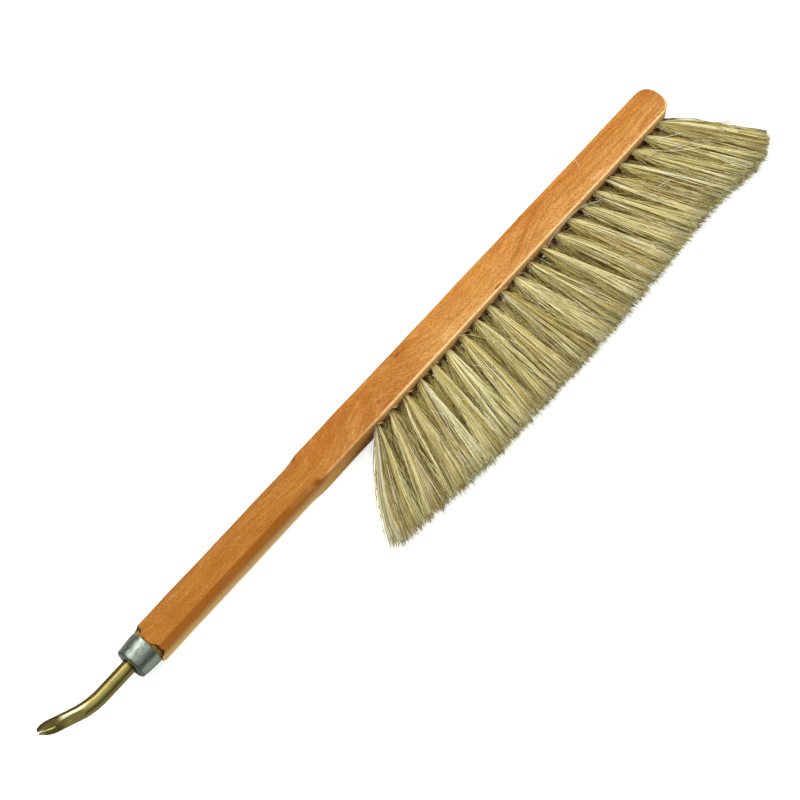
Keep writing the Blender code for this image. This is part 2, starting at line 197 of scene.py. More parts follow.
class Signal:
    """A node's output that can be used in formulas; each step adds a node."""

    __add__ = operator("ADD")
    __radd__ = operator("ADD", swapped=True)
    __sub__ = operator("SUBTRACT")
    __rsub__ = operator("SUBTRACT", swapped=True)
    __mul__ = operator("MULTIPLY")
    __truediv__ = operator("DIVIDE")
    __pow__ = operator("POWER")
    __lt__ = operator("LESS_THAN")
    __gt__ = operator("GREATER_THAN")
    __abs__ = operator("ABSOLUTE")
    sqrt = operator("SQRT")
    at_least = operator("MAXIMUM")
    times_plus = operator("MULTIPLY_ADD")

    def __init__(self, nodes, socket):
        self.nodes = nodes
        self.socket = socket

    def ease(self, first, last, to=(0.0, 1.0)):
        """Smooth and clamped: first..last becomes the range to."""
        node = self.nodes.new("ShaderNodeMapRange", interpolation_type="SMOOTHSTEP")
        self.nodes.feed(node.inputs["Value"], self)
        for name, value in zip(("From Min", "From Max", "To Min", "To Max"), (first, last, *to)):
            node.inputs[name].default_value = value
        return self.nodes.out(node, 0)

    def window(self, rise, fall):
        """0 to 1 over the range rise, and back to 0 over the range fall."""
        return self.ease(*rise) * self.ease(*fall, to=(1.0, 0.0))

    def ramp(self, *stops):
        """Colours through stops of (position, colour)."""
        node = self.nodes.new("ShaderNodeValToRGB")
        self.nodes.feed(node.inputs[0], self)
        elements = node.color_ramp.elements
        while len(elements) < len(stops):
            elements.new(0.5)
        for element, (position, colour) in zip(elements, stops):
            element.position = position
            element.color = (*colour, 1.0)
        return self.nodes.out(node, 0)

    def toward(self, colour, amount, mode="MIX"):
        return self.nodes.mix(amount, self, colour, mode)


class Nodes:
    """Builds a node tree.  math_inputs is how many of a math node's three
    inputs are set; the rest keep Blender's defaults."""

    def __init__(self, tree, math_inputs=3):
        self.tree = tree
        self.math_inputs = math_inputs

    def new(self, kind, **settings):
        node = self.tree.nodes.new(kind)
        for name, value in settings.items():
            setattr(node, name, value)
        return node

    def feed(self, socket, value):
        if isinstance(value, Signal):
            self.tree.links.new(value.socket, socket)
            return
        if socket.type == "RGBA" and len(value) == 3:
            value = (*value, 1.0)
        socket.default_value = value

    def out(self, node, name):
        return Signal(self, node.outputs[name])

    def math(self, operation, a, b=0.0, c=0.0):
        node = self.new("ShaderNodeMath", operation=operation)
        for socket, value in zip(node.inputs, (a, b, c)[:self.math_inputs]):
            self.feed(socket, value)
        return self.out(node, 0)

    def mix(self, amount, first, second, mode="MIX"):
        node = self.new("ShaderNodeMix", data_type="RGBA", blend_type=mode)
        for i, value in ((0, amount), (6, first), (7, second)):
            self.feed(node.inputs[i], value)
        return self.out(node, 2)

    def split(self, vector):
        node = self.new("ShaderNodeSeparateXYZ")
        self.feed(node.inputs[0], vector)
        return [self.out(node, i) for i in range(3)]


class Material(Nodes):
    """A material's nodes; position is the place on the object in millimetres."""

    def __init__(self, name, colour):
        self.material = bpy.data.materials.new(name)
        self.material.use_nodes = True
        self.material.diffuse_color = (*colour, 1.0)
        super().__init__(self.material.node_tree)
        self.bsdf = self.tree.nodes["Principled BSDF"]
        place = self.out(self.new("ShaderNodeTexCoord"), "Object")
        node = self.new("ShaderNodeVectorMath", operation="SCALE")
        self.feed(node.inputs[0], place)
        node.inputs["Scale"].default_value = 1000.0
        self.position = self.out(node, 0)

    def join(self, x, y, z):
        node = self.new("ShaderNodeCombineXYZ")
        for socket, value in zip(node.inputs, (x, y, z)):
            self.feed(socket, value)
        return self.out(node, 0)

    def noise(self, where, detail=3.0, rough=0.5, distort=0.0):
        """where is a vector, or the frequencies along x, y, z per millimetre."""
        if isinstance(where, tuple):
            stretch = self.new("ShaderNodeVectorMath", operation="MULTIPLY")
            self.feed(stretch.inputs[0], self.position)
            self.feed(stretch.inputs[1], where)
            where = self.out(stretch, 0)
        node = self.new("ShaderNodeTexNoise")
        self.feed(node.inputs["Vector"], where)
        node.inputs["Scale"].default_value = 1.0
        node.inputs["Detail"].default_value = detail
        node.inputs["Roughness"].default_value = rough
        node.inputs["Distortion"].default_value = distort
        return self.out(node, "Fac")

    def bump(self, height, strength, depth, over=None):
        """A bumped normal; depth in millimetres, over another normal."""
        node = self.new("ShaderNodeBump")
        self.feed(node.inputs["Height"], height)
        node.inputs["Strength"].default_value = strength
        node.inputs["Distance"].default_value = depth * MM
        if over is not None:
            self.feed(node.inputs["Normal"], over)
        return self.out(node, 0)

    def finish(self, **sockets):
        for name, value in sockets.items():
            self.feed(self.bsdf.inputs[name.replace("_", " ")], value)
        return self.material


def axis_distance(y, z):
    return (y * y + (z - AXIS_Z) ** 2.0).sqrt()


# ----------------------------------------------------------------------- wood
TONE_STOPS = (0.34, 0.46, 0.56, 0.70)
HANDLE_TONES = (
    (0.385, 0.120, 0.012), (0.455, 0.162, 0.019),
    (0.505, 0.200, 0.028), (0.570, 0.245, 0.042),
)
HEAD_TONES = (
    (0.520, 0.185, 0.028), (0.610, 0.250, 0.046),
    (0.665, 0.300, 0.066), (0.735, 0.370, 0.105),
)
# share of the length, tint the wood is multiplied by
LENGTH_TINTS = (
    (0.25, (0.810, 0.860, 0.880)), (0.31, (0.900, 0.930, 0.960)),
    (0.50, (0.920, 0.980, 1.000)), (0.62, (0.970, 1.000, 1.000)),
)
DARK_FIBRE = (0.400, 0.128, 0.016)
# offset across the brush, half width, darkness
GROWTH_LINES = (
    (0.0, 2.3, 0.85), (2.9, 0.7, 0.50), (-2.6, 0.8, 0.45),
    (5.4, 1.3, 0.50), (-6.2, 0.9, 0.30), (9.2, 1.0, 0.35),
)
KNOT = (0.16, 0.045, 0.022)
RUBBED = (0.92, 0.62, 0.29)
# XS, y, half length, half width, colour, amount, raggedness
TOP_MARKS = (
    (201.0, 6.6, 2.2, 0.9, KNOT, 0.75, 2.6),
    (205.5, 6.0, 1.2, 0.6, KNOT, 0.55, 2.6),
    (267.0, -8.2, 3.2, 0.55, (0.20, 0.030, 0.008), 0.95, 2.6),
    (240.0, -2.6, 0.8, 0.5, (0.20, 0.060, 0.010), 0.8, 2.6),
    (228.0, -5.8, 6.5, 2.2, (0.86, 0.56, 0.22), 0.45, 7.0),
    (356.0, -6.5, 5.2, 1.4, RUBBED, 0.42, 7.0),
    (351.5, -5.6, 1.8, 1.0, RUBBED, 0.35, 7.0),
    (174.0, -3.6, 1.6, 1.0, (0.22, 0.070, 0.012), 0.5, 2.6),
    (88.0, -5.5, 1.4, 0.5, (0.25, 0.080, 0.012), 0.6, 2.6),
    (408.0, -8.4, 0.6, 0.45, (0.13, 0.040, 0.010), 0.9, 2.6),
)


class Beech(Material):
    """Reddish-orange varnished beech, painted in layers over one base colour."""

    def __init__(self):
        super().__init__("varnished_beech", (0.5, 0.22, 0.06))
        x, y, z = self.split(self.position)
        self.x, self.y, self.z = x, y, z
        self.along = x - RIM_X
        # the grain wanders sideways, and runs out on a slant where the
        # handle meets the head
        wander = self.noise(self.join(x * 0.0085, 3.1, z * 0.02), detail=1.0, rough=0.4)
        slant = self.along.window((118.0, 215.0), (150.0, 330.0))
        drift = (wander - 0.5) * 40.0 + slant * (x * 0.36)
        self.grain_y = y + drift
        self.grain_z = z + drift * 0.4
        self.patches = self.grain(0.040, 0.10, rough=0.55, distort=0.6)
        self.fibre = self.grain(0.20, 2.0, detail=4.0, rough=0.65)
        self.speckle = self.grain(0.95, 2.1, rough=0.7)
        pores = self.new("ShaderNodeTexVoronoi")
        self.feed(pores.inputs["Vector"], self.grain_place(0.50, 2.1))
        pores.inputs["Scale"].default_value = 1.0
        pores.inputs["Randomness"].default_value = 1.0
        self.pores = self.out(pores, "Distance")

    def place(self, along, y, z):
        """A noise place with these frequencies, straight along the brush."""
        return self.join(self.x.times_plus(along, 0.0), self.y * y, self.z * z)

    def grain_place(self, along, across, shift=0.0):
        """A noise place with these frequencies, following the grain."""
        x = self.x.times_plus(along, shift)
        return self.join(x, self.grain_y * across, self.grain_z * across)

    def grain(self, along, across, shift=0.0, **noise):
        return self.noise(self.grain_place(along, across, shift), **noise)

    def ground(self):
        """Slow bands; deeper on the handle, lighter on the head."""
        bands = self.grain(0.010, 0.15, rough=0.55, distort=0.35)
        tone = bands.times_plus(0.55, self.patches * 0.45)
        handle = tone.ramp(*zip(TONE_STOPS, HANDLE_TONES))
        head = tone.ramp(*zip(TONE_STOPS, HEAD_TONES))
        base = handle.toward(head, self.along.ease(130.0, 245.0))
        return base.toward((self.along / 420.0).ramp(*LENGTH_TINTS), 1.0, "MULTIPLY")

    def head_stains(self, base):
        along = self.along
        # the head bleaches toward the hair
        pale = along.ease(122.0, 150.0) * self.y.ease(7.0, -8.0)
        base = base.toward((0.860, 0.520, 0.190), pale * 0.34)
        # reddish patches where the head starts
        cloud = self.grain(0.055, 0.085, shift=4.0, rough=0.6, distort=0.8)
        streaks = self.grain(0.16, 0.62, shift=9.0, rough=0.6, distort=0.3)
        patchy = cloud.times_plus(0.6, streaks * 0.4).ease(0.40, 0.56)
        red = along.window((118.0, 150.0), (185.0, 225.0)) * patchy
        return base.toward((0.400, 0.128, 0.018), red * 0.80)

    def growth_lines(self, base):
        """Dark lines crossing the head on a slant, then along its +Y side."""
        along = self.along
        line = along.ease(272.0, 325.0).times_plus(12.5, -6.0)
        line = line + along.ease(325.0, STOCK_LENGTH) * 1.2
        wiggle = (self.noise(self.place(0.05, 0.0, 0.03), detail=2.0) - 0.5) * 2.4
        offset = (self.y + wiggle) - line
        strength = along.ease(262.0, 290.0) * self.patches.ease(0.30, 0.55, to=(0.45, 1.0))
        for shift, half, darkness in GROWTH_LINES:
            near = abs(offset + shift).ease(half * 0.2, half, to=(1.0, 0.0)) * strength
            base = base.toward((0.445, 0.150, 0.022), near * darkness)
        return base

    def fibres(self, base):
        """Long bunched fibres, fine fibres, speckle and pores."""
        bunched = self.grain(0.030, 0.55, shift=2.0, detail=4.0, rough=0.62, distort=0.3)
        speckle = self.speckle
        # noise, range of it that shows, greatest amount, colour
        for noise, first, last, amount, colour in (
            (bunched, 0.50, 0.66, 0.50, DARK_FIBRE),
            (bunched, 0.47, 0.36, 0.22, (0.800, 0.420, 0.130)),
            (self.fibre, 0.40, 0.68, 0.62, DARK_FIBRE),
            (self.fibre, 0.42, 0.28, 0.35, (0.800, 0.440, 0.135)),
            (speckle, 0.50, 0.66, 0.75, (0.250, 0.070, 0.009)),
            (speckle, 0.43, 0.30, 0.22, (0.830, 0.480, 0.170)),
        ):
            base = base.toward(colour, noise.ease(first, last, to=(0.0, amount)))
        return base.toward((0.170, 0.045, 0.008), self.pores.ease(0.06, 0.22, to=(0.70, 0.0)))

    def marks(self, base):
        """Single spots, dashes and rubbed flecks, and a scratch, all on top."""
        along, y, z = self.along, self.y, self.z
        for mark_x, mark_y, length, width, colour, amount, ragged in TOP_MARKS:
            across_x = (along - mark_x) * (1.0 / length)
            across_y = (y - mark_y) * (1.0 / width)
            distance = across_x * across_x + across_y * across_y
            distance = distance + (self.speckle - 0.46) * ragged
            on_top = z.ease(18.5, 19.3)
            base = base.toward(colour, distance.ease(0.35, 1.25, to=(amount, 0.0)) * on_top)
        # a pale curved scratch across the head near the round end
        curved = along + ((y - 9.0) * (y - 9.0)) * 0.10
        near = abs(curved - 354.6).ease(0.08, 0.34, to=(0.6, 0.0))
        scratch = near * (y.ease(3.6, 4.6) * z.ease(18.5, 19.3))
        return base.toward((0.86, 0.60, 0.34), scratch)

    def chamfers(self, base):
        """Redder wood on the handle's chamfers, ending in a pale rubbed pad."""
        along, y = self.along, self.y
        height = abs(self.z - AXIS_Z)
        from_middle = abs(y) + height      # largest on the chamfers
        on_handle = along.ease(120.5, 122.0, to=(1.0, 0.0))
        chamfer = self.fibre.times_plus(1.2, from_middle).ease(15.9, 17.3) * on_handle
        chamfer = chamfer * y.ease(2.0, -2.0, to=(0.12, 1.0))
        base = base.toward((0.430, 0.128, 0.006), chamfer * 0.62)
        ridge = abs(from_middle - 16.75).ease(0.1, 0.5, to=(1.0, 0.0)) * on_handle
        base = base.toward((0.250, 0.070, 0.008), ridge * 0.30)
        pad = along.window((96.0, 104.0), (113.0, 117.5))
        pad = pad * (from_middle.ease(16.3, 17.2) * y.ease(-9.2, -8.0))
        base = base.toward((0.720, 0.370, 0.130), pad * 0.90)
        rim = along.window((116.5, 119.5), (120.5, 123.5)) * from_middle.ease(17.0, 17.8)
        return base.toward((0.230, 0.062, 0.010), rim * 0.7)

    def worn_arris(self, base):
        """Pale chipped wear on the top edge at -Y and round the end."""
        along, y, z = self.along, self.y, self.z
        place = self.join(self.x * 0.55, 0.0, 7.7)
        chips = self.noise(place, detail=4.0, rough=0.75)
        edge = y.ease(-8.3, -9.3) * z.ease(18.2, 19.2)
        past = (along - 409.5).at_least(0.0)
        away = (past * past + y * y).sqrt()
        bend = away.ease(8.8, 9.6) * (z.ease(18.8, 19.5) * y.ease(4.0, -2.0))
        edge = edge.at_least(bend * along.ease(408.0, 411.0))
        worn = edge * chips.ease(0.34, 0.54, to=(0.40, 1.0))
        worn = worn * (along.ease(122.0, 130.0) * along.ease(155.0, 190.0, to=(0.32, 1.0)))
        return base.toward((1.0, 0.660, 0.310), worn * 0.95)

    def sides(self, base):
        """Colours of the hair's side, the round end and the handle's sides, with painted bounce
        light and painted shade.
        """
        along, y, z = self.along, self.y, self.z
        # darker in patches low on the hair's side, from the first holes on
        side = y.ease(-9.6, -9.95) * along.ease(145.0, 165.0)
        side_blotches = self.noise(self.place(0.14, 0.2, 0.35), rough=0.6)
        side = side * side_blotches.ease(0.35, 0.65, to=(0.25, 0.75))
        base = base.toward((0.470, 0.160, 0.022), side * z.ease(15.5, 11.0))
        # painted light: the strip above the holes is painted pale, for the light the hair's shade
        # takes from it
        rubbed = y.ease(-9.4, -9.9) * along.ease(158.0, 175.0) * z.ease(8.0, 13.5)
        base = base.toward((1.0, 0.620, 0.240), rubbed * 0.95)
        # the round end is deeper
        end = along.ease(404.0, 418.0) * y.ease(-6.0, 6.0, to=(0.45, 0.95))
        base = base.toward((0.370, 0.135, 0.030), end * 0.40)
        # painted bounce light: the sides pale downward, mostly on the handle, for light from the
        # floor
        low = abs(y).ease(8.9, 9.6) * z.ease(18.0, 5.0)
        low = low * along.ease(122.0, 140.0, to=(1.0, 0.12))
        low = low * y.ease(2.0, -2.0, to=(0.15, 1.0))
        base = base.toward((0.860, 0.570, 0.200), low * 0.80)
        # the head's start before the first tufts, in its orange wood, painted paler toward the
        # bottom as bounce light from the floor
        start = y.ease(-9.6, -9.9) * along.window((122.0, 130.0), (158.0, 168.0))
        start = start * z.ease(18.0, 6.0, to=(0.45, 0.90))
        base = base.toward((0.800, 0.430, 0.095), start)
        # painted shade: deeper again from the first tufts on, most toward the bottom under the
        # hair
        painted_hair_shade = y.ease(-9.6, -9.9) * along.ease(134.0, 156.0)
        painted_hair_shade = painted_hair_shade * z.ease(18.0, 4.0, to=(0.15, 0.72))
        return base.toward((0.300, 0.085, 0.010), painted_hair_shade)

    def build(self):
        base = self.ground()
        for layer in (
            self.head_stains, self.growth_lines, self.fibres, self.marks,
            self.chamfers, self.worn_arris, self.sides,
        ):
            base = layer(base)
        rough = self.speckle.ease(0.35, 0.7, to=(0.36, 0.55))
        height = self.speckle.times_plus(0.7, self.pores * 0.35)
        ripple = self.noise((0.05, 0.22, 0.22), detail=2.0)
        normal = self.bump(ripple, strength=0.25, depth=0.35)
        normal = self.bump(height, strength=0.35, depth=0.12, over=normal)
        return self.finish(
            Base_Color=base, Roughness=rough, Normal=normal, Specular_IOR_Level=0.12,
            Coat_Weight=0.05, Coat_Roughness=0.18, Coat_IOR=1.5,
        )


def tenon_material():
    """Bare wood of the neck: a torn shoulder, stained dark and darkened more with painted shade,
    and a stained tenon.
    """
    mat = Material("stained_and_shaded_end_wood", (0.20, 0.12, 0.04))
    _, y, z = mat.split(mat.position)
    radius = axis_distance(y, z)
    grain = mat.noise((1.2, 0.9, 0.9), detail=4.0, rough=0.65)
    # the torn shoulder: dark stain deepened with painted shade
    shoulder = grain.ramp(
        (0.32, (0.020, 0.009, 0.004)),
        (0.52, (0.075, 0.024, 0.008)),
        (0.70, (0.20, 0.085, 0.022)),
    )
    tenon = grain.ramp(
        (0.32, (0.105, 0.062, 0.014)),
        (0.50, (0.24, 0.155, 0.035)),
        (0.68, (0.40, 0.28, 0.075)),
    )
    base = tenon.toward(shoulder, radius.ease(9.15, 9.5))
    normal = mat.bump(grain, strength=0.5, depth=0.2)
    return mat.finish(Base_Color=base, Roughness=0.7, Specular_IOR_Level=0.15, Normal=normal)


def hole_material():
    """Inside of the drilled holes, painted dark as the shade in them."""
    mat = Material("drilled_wood_painted_shade", (0.20, 0.09, 0.03))
    grain = mat.noise((1.5, 0.6, 1.5), rough=0.6)
    base = grain.ramp((0.30, (0.14, 0.045, 0.012)), (0.70, (0.34, 0.14, 0.035)))
    return mat.finish(Base_Color=base, Roughness=0.75)


# --------------------------------------------------------------------- metals
def aluminium_material():
    """Dull drawn aluminium: streaks along the draw, smudges, small dents, with painted reflection
    bands and painted shade round the rod.
    """
    mat = Material("dull_aluminium", (0.45, 0.48, 0.45))
    x, y, z = mat.split(mat.position)
    along = x - RIM_X
    smudge = mat.noise((0.20, 0.24, 0.24), detail=4.0, rough=0.6, distort=0.6)
    streak = mat.noise((0.22, 1.8, 1.8), detail=4.0, rough=0.6)
    grain = mat.noise((2.4, 2.4, 2.4), detail=2.0, rough=0.6)
    base = smudge.ramp(
        (0.30, (0.27, 0.345, 0.30)),
        (0.50, (0.49, 0.575, 0.50)),
        (0.70, (0.72, 0.81, 0.70)),
    )
    # painted reflection: a darker band toward -Y, with a painted highlight on its edge
    base = base.toward((0.27, 0.33, 0.30), y.ease(-3.5, -6.0, to=(0.0, 0.35)))
    base = base.toward((0.76, 0.86, 0.76), y.ease(-6.5, -8.2, to=(0.0, 0.75)))
    base = base.toward((0.30, 0.35, 0.34), streak.ease(0.50, 0.72, to=(0.0, 0.35)))
    # painted shade round the rod, and a painted reflection: a dark ring on the cap's corner
    radius = axis_distance(y, z)
    rod_shade = radius.ease(6.4, 4.4) * along.ease(-10.5, -12.0)
    base = base.toward((0.07, 0.07, 0.06), rod_shade * 0.8)
    ring = abs(along + 11.7).ease(0.25, 0.9, to=(0.65, 0.0)) * radius.ease(6.6, 7.4)
    base = base.toward((0.12, 0.14, 0.14), ring)
    rough = smudge.ease(0.3, 0.7, to=(0.20, 0.34)) + streak.ease(0.4, 0.7, to=(0.0, 0.08))
    dents = mat.noise((0.24, 0.30, 0.30), detail=2.0)
    normal = mat.bump(dents, strength=0.55, depth=0.55)
    normal = mat.bump(grain, strength=0.12, depth=0.05, over=normal)
    return mat.finish(Base_Color=base, Metallic=1.0, Roughness=rough, Normal=normal)


def across_bar(along, y):
    """Distance across the hook's bar from its bent centre line."""
    past = (-BEND_START - along).at_least(0.0)
    curve = (past * past) / (2 * BEND_RADIUS)
    straight = past.times_plus(0.396, -3.17)
    return y - (curve * (past < 15.5) + straight * (past > 15.5))


def zinc_material():
    """Yellow zinc on steel: olive and gold patches, draw lines along the bar, with painted
    reflection bands, painted shade and a painted highlight.
    """
    mat = Material("yellow_zinc_steel", (0.42, 0.34, 0.12))
    x, y, z = mat.split(mat.position)
    along = x - RIM_X
    cloud = mat.noise((0.07, 0.26, 0.26), rough=0.55, distort=0.5)
    streak = mat.noise((0.16, 2.2, 2.2), detail=4.0, rough=0.6)
    pits = mat.noise((1.6, 1.6, 1.6), rough=0.7)
    base = cloud.ramp(
        (0.28, (0.50, 0.330, 0.115)),
        (0.44, (0.56, 0.460, 0.140)),
        (0.58, (0.53, 0.490, 0.145)),
        (0.74, (0.66, 0.530, 0.200)),
    )
    across = across_bar(along, y)
    # painted reflection: an orange tint where the highlight runs on the side away from the hair,
    # and a dark olive painted edge beyond it
    painted_highlight_tint = across.ease(0.4, 1.6) * along.ease(-53.0, -46.0)
    base = base.toward((0.62, 0.360, 0.130), painted_highlight_tint * 0.60)
    olive = across.ease(2.5, 3.4) * along.ease(-48.0, -40.0)
    base = base.toward((0.13, 0.105, 0.030), olive * 0.85)
    # painted highlight: a faded brown band where the highlight dims into the bend
    brown = across.ease(1.4, 2.6) * along.ease(-38.0, -46.0)
    base = base.toward((0.36, 0.190, 0.075), brown * 0.80)
    base = base.toward((0.20, 0.155, 0.045), streak.ease(0.50, 0.70, to=(0.0, 0.45)))
    base = base.toward((0.12, 0.085, 0.03), pits.ease(0.60, 0.72, to=(0.0, 0.65)))
    # brown tint on the claw's flat
    tint = mat.noise((0.15, 0.35, 0.35), rough=0.6).ease(0.40, 0.60)
    flat = along.ease(-52.0, -60.0) * tint
    base = base.toward((0.30, 0.185, 0.085), flat * 0.55)
    # painted highlight: a bright, less metallic band where the bar begins to flatten
    stretch = along.ease(-39.5, -44.5) * along.ease(-57.5, -53.0)
    painted_glint = across.ease(-0.5, 0.3) * (stretch * across.ease(1.9, 1.0)) * z.ease(10.5, 11.8)
    base = base.toward((0.93, 0.96, 0.58), painted_glint * 0.96)
    # painted shade beside the ferrule, and a scored line round the shank
    base = base.toward((0.05, 0.04, 0.015), along.ease(-14.4, -12.4) * 0.85)
    score = abs(along + 25.6).ease(0.10, 0.35, to=(0.3, 0.0))
    base = base.toward((0.14, 0.09, 0.03), score)
    rough = streak.ease(0.3, 0.7, to=(0.16, 0.30))
    dents = mat.noise((0.12, 0.25, 0.25), detail=2.0)
    normal = mat.bump(dents, strength=0.30, depth=0.40)
    normal = mat.bump(streak, strength=0.15, depth=0.06, over=normal)
    metallic = painted_glint.times_plus(-0.80, 1.0)
    return mat.finish(Base_Color=base, Metallic=metallic, Roughness=rough, Normal=normal)


def ground_material():
    """The claw's inner slope: greener than the bar, painted bright and not metallic as a painted
    highlight.
    """
    mat = Material("zinc_steel_painted_highlight", (0.66, 0.74, 0.20))
    grain = mat.noise((0.5, 1.4, 1.4), rough=0.6)
    base = grain.ramp((0.35, (0.72, 0.78, 0.16)), (0.60, (0.93, 0.98, 0.30)))
    return mat.finish(Base_Color=base, Metallic=0.0, Roughness=0.42)


# ------------------------------------------------------------ hair and splinters
HAIR_TONES = (
    (0.045, 0.034, 0.014), (0.180, 0.128, 0.036), (0.345, 0.250, 0.072),
    (0.520, 0.418, 0.138), (0.690, 0.595, 0.235), (0.800, 0.720, 0.340),
    (0.885, 0.825, 0.480), (0.960, 0.930, 0.680), (0.520, 0.520, 0.450),
    (0.880, 0.885, 0.870), (0.520, 0.320, 0.095), (0.740, 0.570, 0.225),
)
# places in HAIR_TONES; the brown-to-cream ones grow paler in order
(
    NEAR_BLACK, DARK_BROWN, BROWN, OLIVE_BROWN, KHAKI, STRAW,
    PALE_STRAW, CREAM, GREY, GREY_WHITE, RED_BROWN, TAN,
) = range(12)
TORN_TONES = ((1.00, 0.62, 0.27), (1.00, 0.78, 0.46), (0.80, 0.36, 0.11))


def hair_material(i, tone):
    red, green, blue = tone
    colour = (red, green * 0.99, blue * (0.86 if i <= CREAM else 0.95))
    mat = Material("horsehair_%02d" % i, colour)
    sheen = mat.noise((0.35, 0.12, 0.35), rough=0.6)
    return mat.finish(
        Base_Color=colour,
        Roughness=0.42,
        Specular_IOR_Level=sheen.ease(0.35, 0.65, to=(0.25, 0.75)),
        Sheen_Weight=0.12,
        Sheen_Roughness=0.4,
    )


def torn_material(i, colour):
    mat = Material("torn_wood_%d" % i, colour)
    shine = mat.noise((2.0, 2.0, 2.0), detail=2.0, rough=0.6).ease(0.3, 0.7, to=(0.2, 0.6))
    return mat.finish(Base_Color=colour, Roughness=0.55, Specular_IOR_Level=shine)


WOOD = Beech().build()
TENON = tenon_material()
HOLE = hole_material()
ALUMINIUM = aluminium_material()
ZINC = zinc_material()
GROUND = ground_material()
HAIR = [hair_material(i, tone) for i, tone in enumerate(HAIR_TONES)]
TORN = [torn_material(i, tone) for i, tone in enumerate(TORN_TONES)]


# ---------------------------------------------------------------------- tufts
def tuft_axis(row, index):
    """The hole's mouth and the tuft's direction, from its CAD solid."""
    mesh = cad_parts["tuft_%s_%02d" % (row, index + 1)].data
    points = np.array([v.co for v in mesh.vertices]) / MM
    points = np.unique(points.round(3), axis=0)
    root = points[points[:, 1] > -11.6]
    inner = root[root[:, 1] > root[:, 1].max() - 2.6].mean(0)
    outer = root[root[:, 1] < -8.6].mean(0)
    way = (outer - inner) / np.linalg.norm(outer - inner)
    mouth = outer + way * ((-HALF - outer[1]) / way[1])
    return mouth, way


def hair_object(name, paths, radii, tones, sides=3):
    """Thin closed tubes along paths (hairs, points, 3), with a radius per
    point and a material index per segment."""
    count, points, _ = paths.shape
    tangent = np.gradient(paths, axis=1)
    tangent /= np.linalg.norm(tangent, axis=2, keepdims=True) + 1e-12
    side = np.cross(tangent, np.array([0.0, 0.0, 1.0]))
    side /= np.linalg.norm(side, axis=2, keepdims=True) + 1e-12
    over = np.cross(side, tangent)
    corner = np.arange(sides)
    angle = (math.tau * corner / sides)[:, None]
    ring = side[:, :, None, :] * np.cos(angle) + over[:, :, None, :] * np.sin(angle)
    verts = (paths[:, :, None, :] + ring * radii[:, :, None, None]).reshape(-1, 3) * MM

    start = (np.arange(count * points) * sides).reshape(count, points)
    this = start[:, :-1, None] + corner
    after = start[:, :-1, None] + (corner + 1) % sides
    quads = np.stack([this, after, after + sides, this + sides], -1).reshape(-1, 4)
    caps = np.concatenate([start[:, :1] + corner[::-1], start[:, -1:] + corner])
    loops = np.concatenate([quads.reshape(-1), caps.reshape(-1)]).astype(np.int32)
    sizes = np.concatenate([np.full(len(quads), 4), np.full(len(caps), sides)])
    starts = np.concatenate([[0], np.cumsum(sizes)[:-1]]).astype(np.int32)
    indices = np.concatenate([np.repeat(tones, sides), tones[:, 0], tones[:, -1]])

    mesh = bpy.data.meshes.new(name)
    mesh.vertices.add(len(verts))
    mesh.vertices.foreach_set("co", verts.astype(np.float32).ravel())
    mesh.loops.add(len(loops))
    mesh.loops.foreach_set("vertex_index", loops)
    mesh.polygons.add(len(sizes))
    mesh.polygons.foreach_set("loop_start", starts)
    for material in HAIR:
        mesh.materials.append(material)
    mesh.polygons.foreach_set("material_index", indices.astype(np.int32))
    mesh.update(calc_edges=True)
    mesh.validate()
    mesh.shade_smooth()
    return link(bpy.data.objects.new(name, mesh))


# The trimmed ends, a nearly straight cut that falls away at both ends:
# XS, distance of the hair's ends toward -Y
TRIM_LINE = np.array([
    (112, 57.5), (120, 59.4), (130, 61.2), (142, 62.2), (154, 62.9), (170, 65.0),
    (192, 66.7), (237, 67.3), (265, 67.9), (282, 68.1), (300, 67.4), (324, 66.8),
    (348, 65.5), (372, 64.2), (396, 64.3), (415, 66.2), (424, 67.2), (434, 65.4),
    (440, 61.6), (446, 57.6), (452, 54.0),
])


def trimmed_y(x):
    return -np.interp(x - RIM_X, TRIM_LINE[:, 0], TRIM_LINE[:, 1])


# Each tuft leans a little off its hole: degrees to add, from the claw's end.
LEAN_ADD = (
    -5.5, 0.2, 2.0, 2.0, 2.0, 1.4, 0.8, 0.4, 1.2, 1.8, 2.0,
    1.8, 2.4, 4.4, 0.8, -0.4, 0.4, -0.4, -1.6, -1.6, -1.2, -0.4,
)
POINTS = 8          # along a strand, from the hole's mouth
STRANDS = 430       # in the body of a tuft
LOOSE = 84          # darker loose hairs round its root as painted shade, twice that below
LOCKS = 10
FINE_LOCKS = 72
ROOT_RADIUS = 1.78
TUFT_DEPTH = 3.7    # half the tuft's spread along Z at its tip
# wave count, size shared by a fine lock, size of a strand's own
WAVES = ((1.0, 0.62, 0.16), (2.0, 0.26, 0.12), (3.4, 0.06, 0.07))


def unit_disc(radius, angle):
    return np.stack([radius * np.cos(angle), radius * np.sin(angle)], 1)


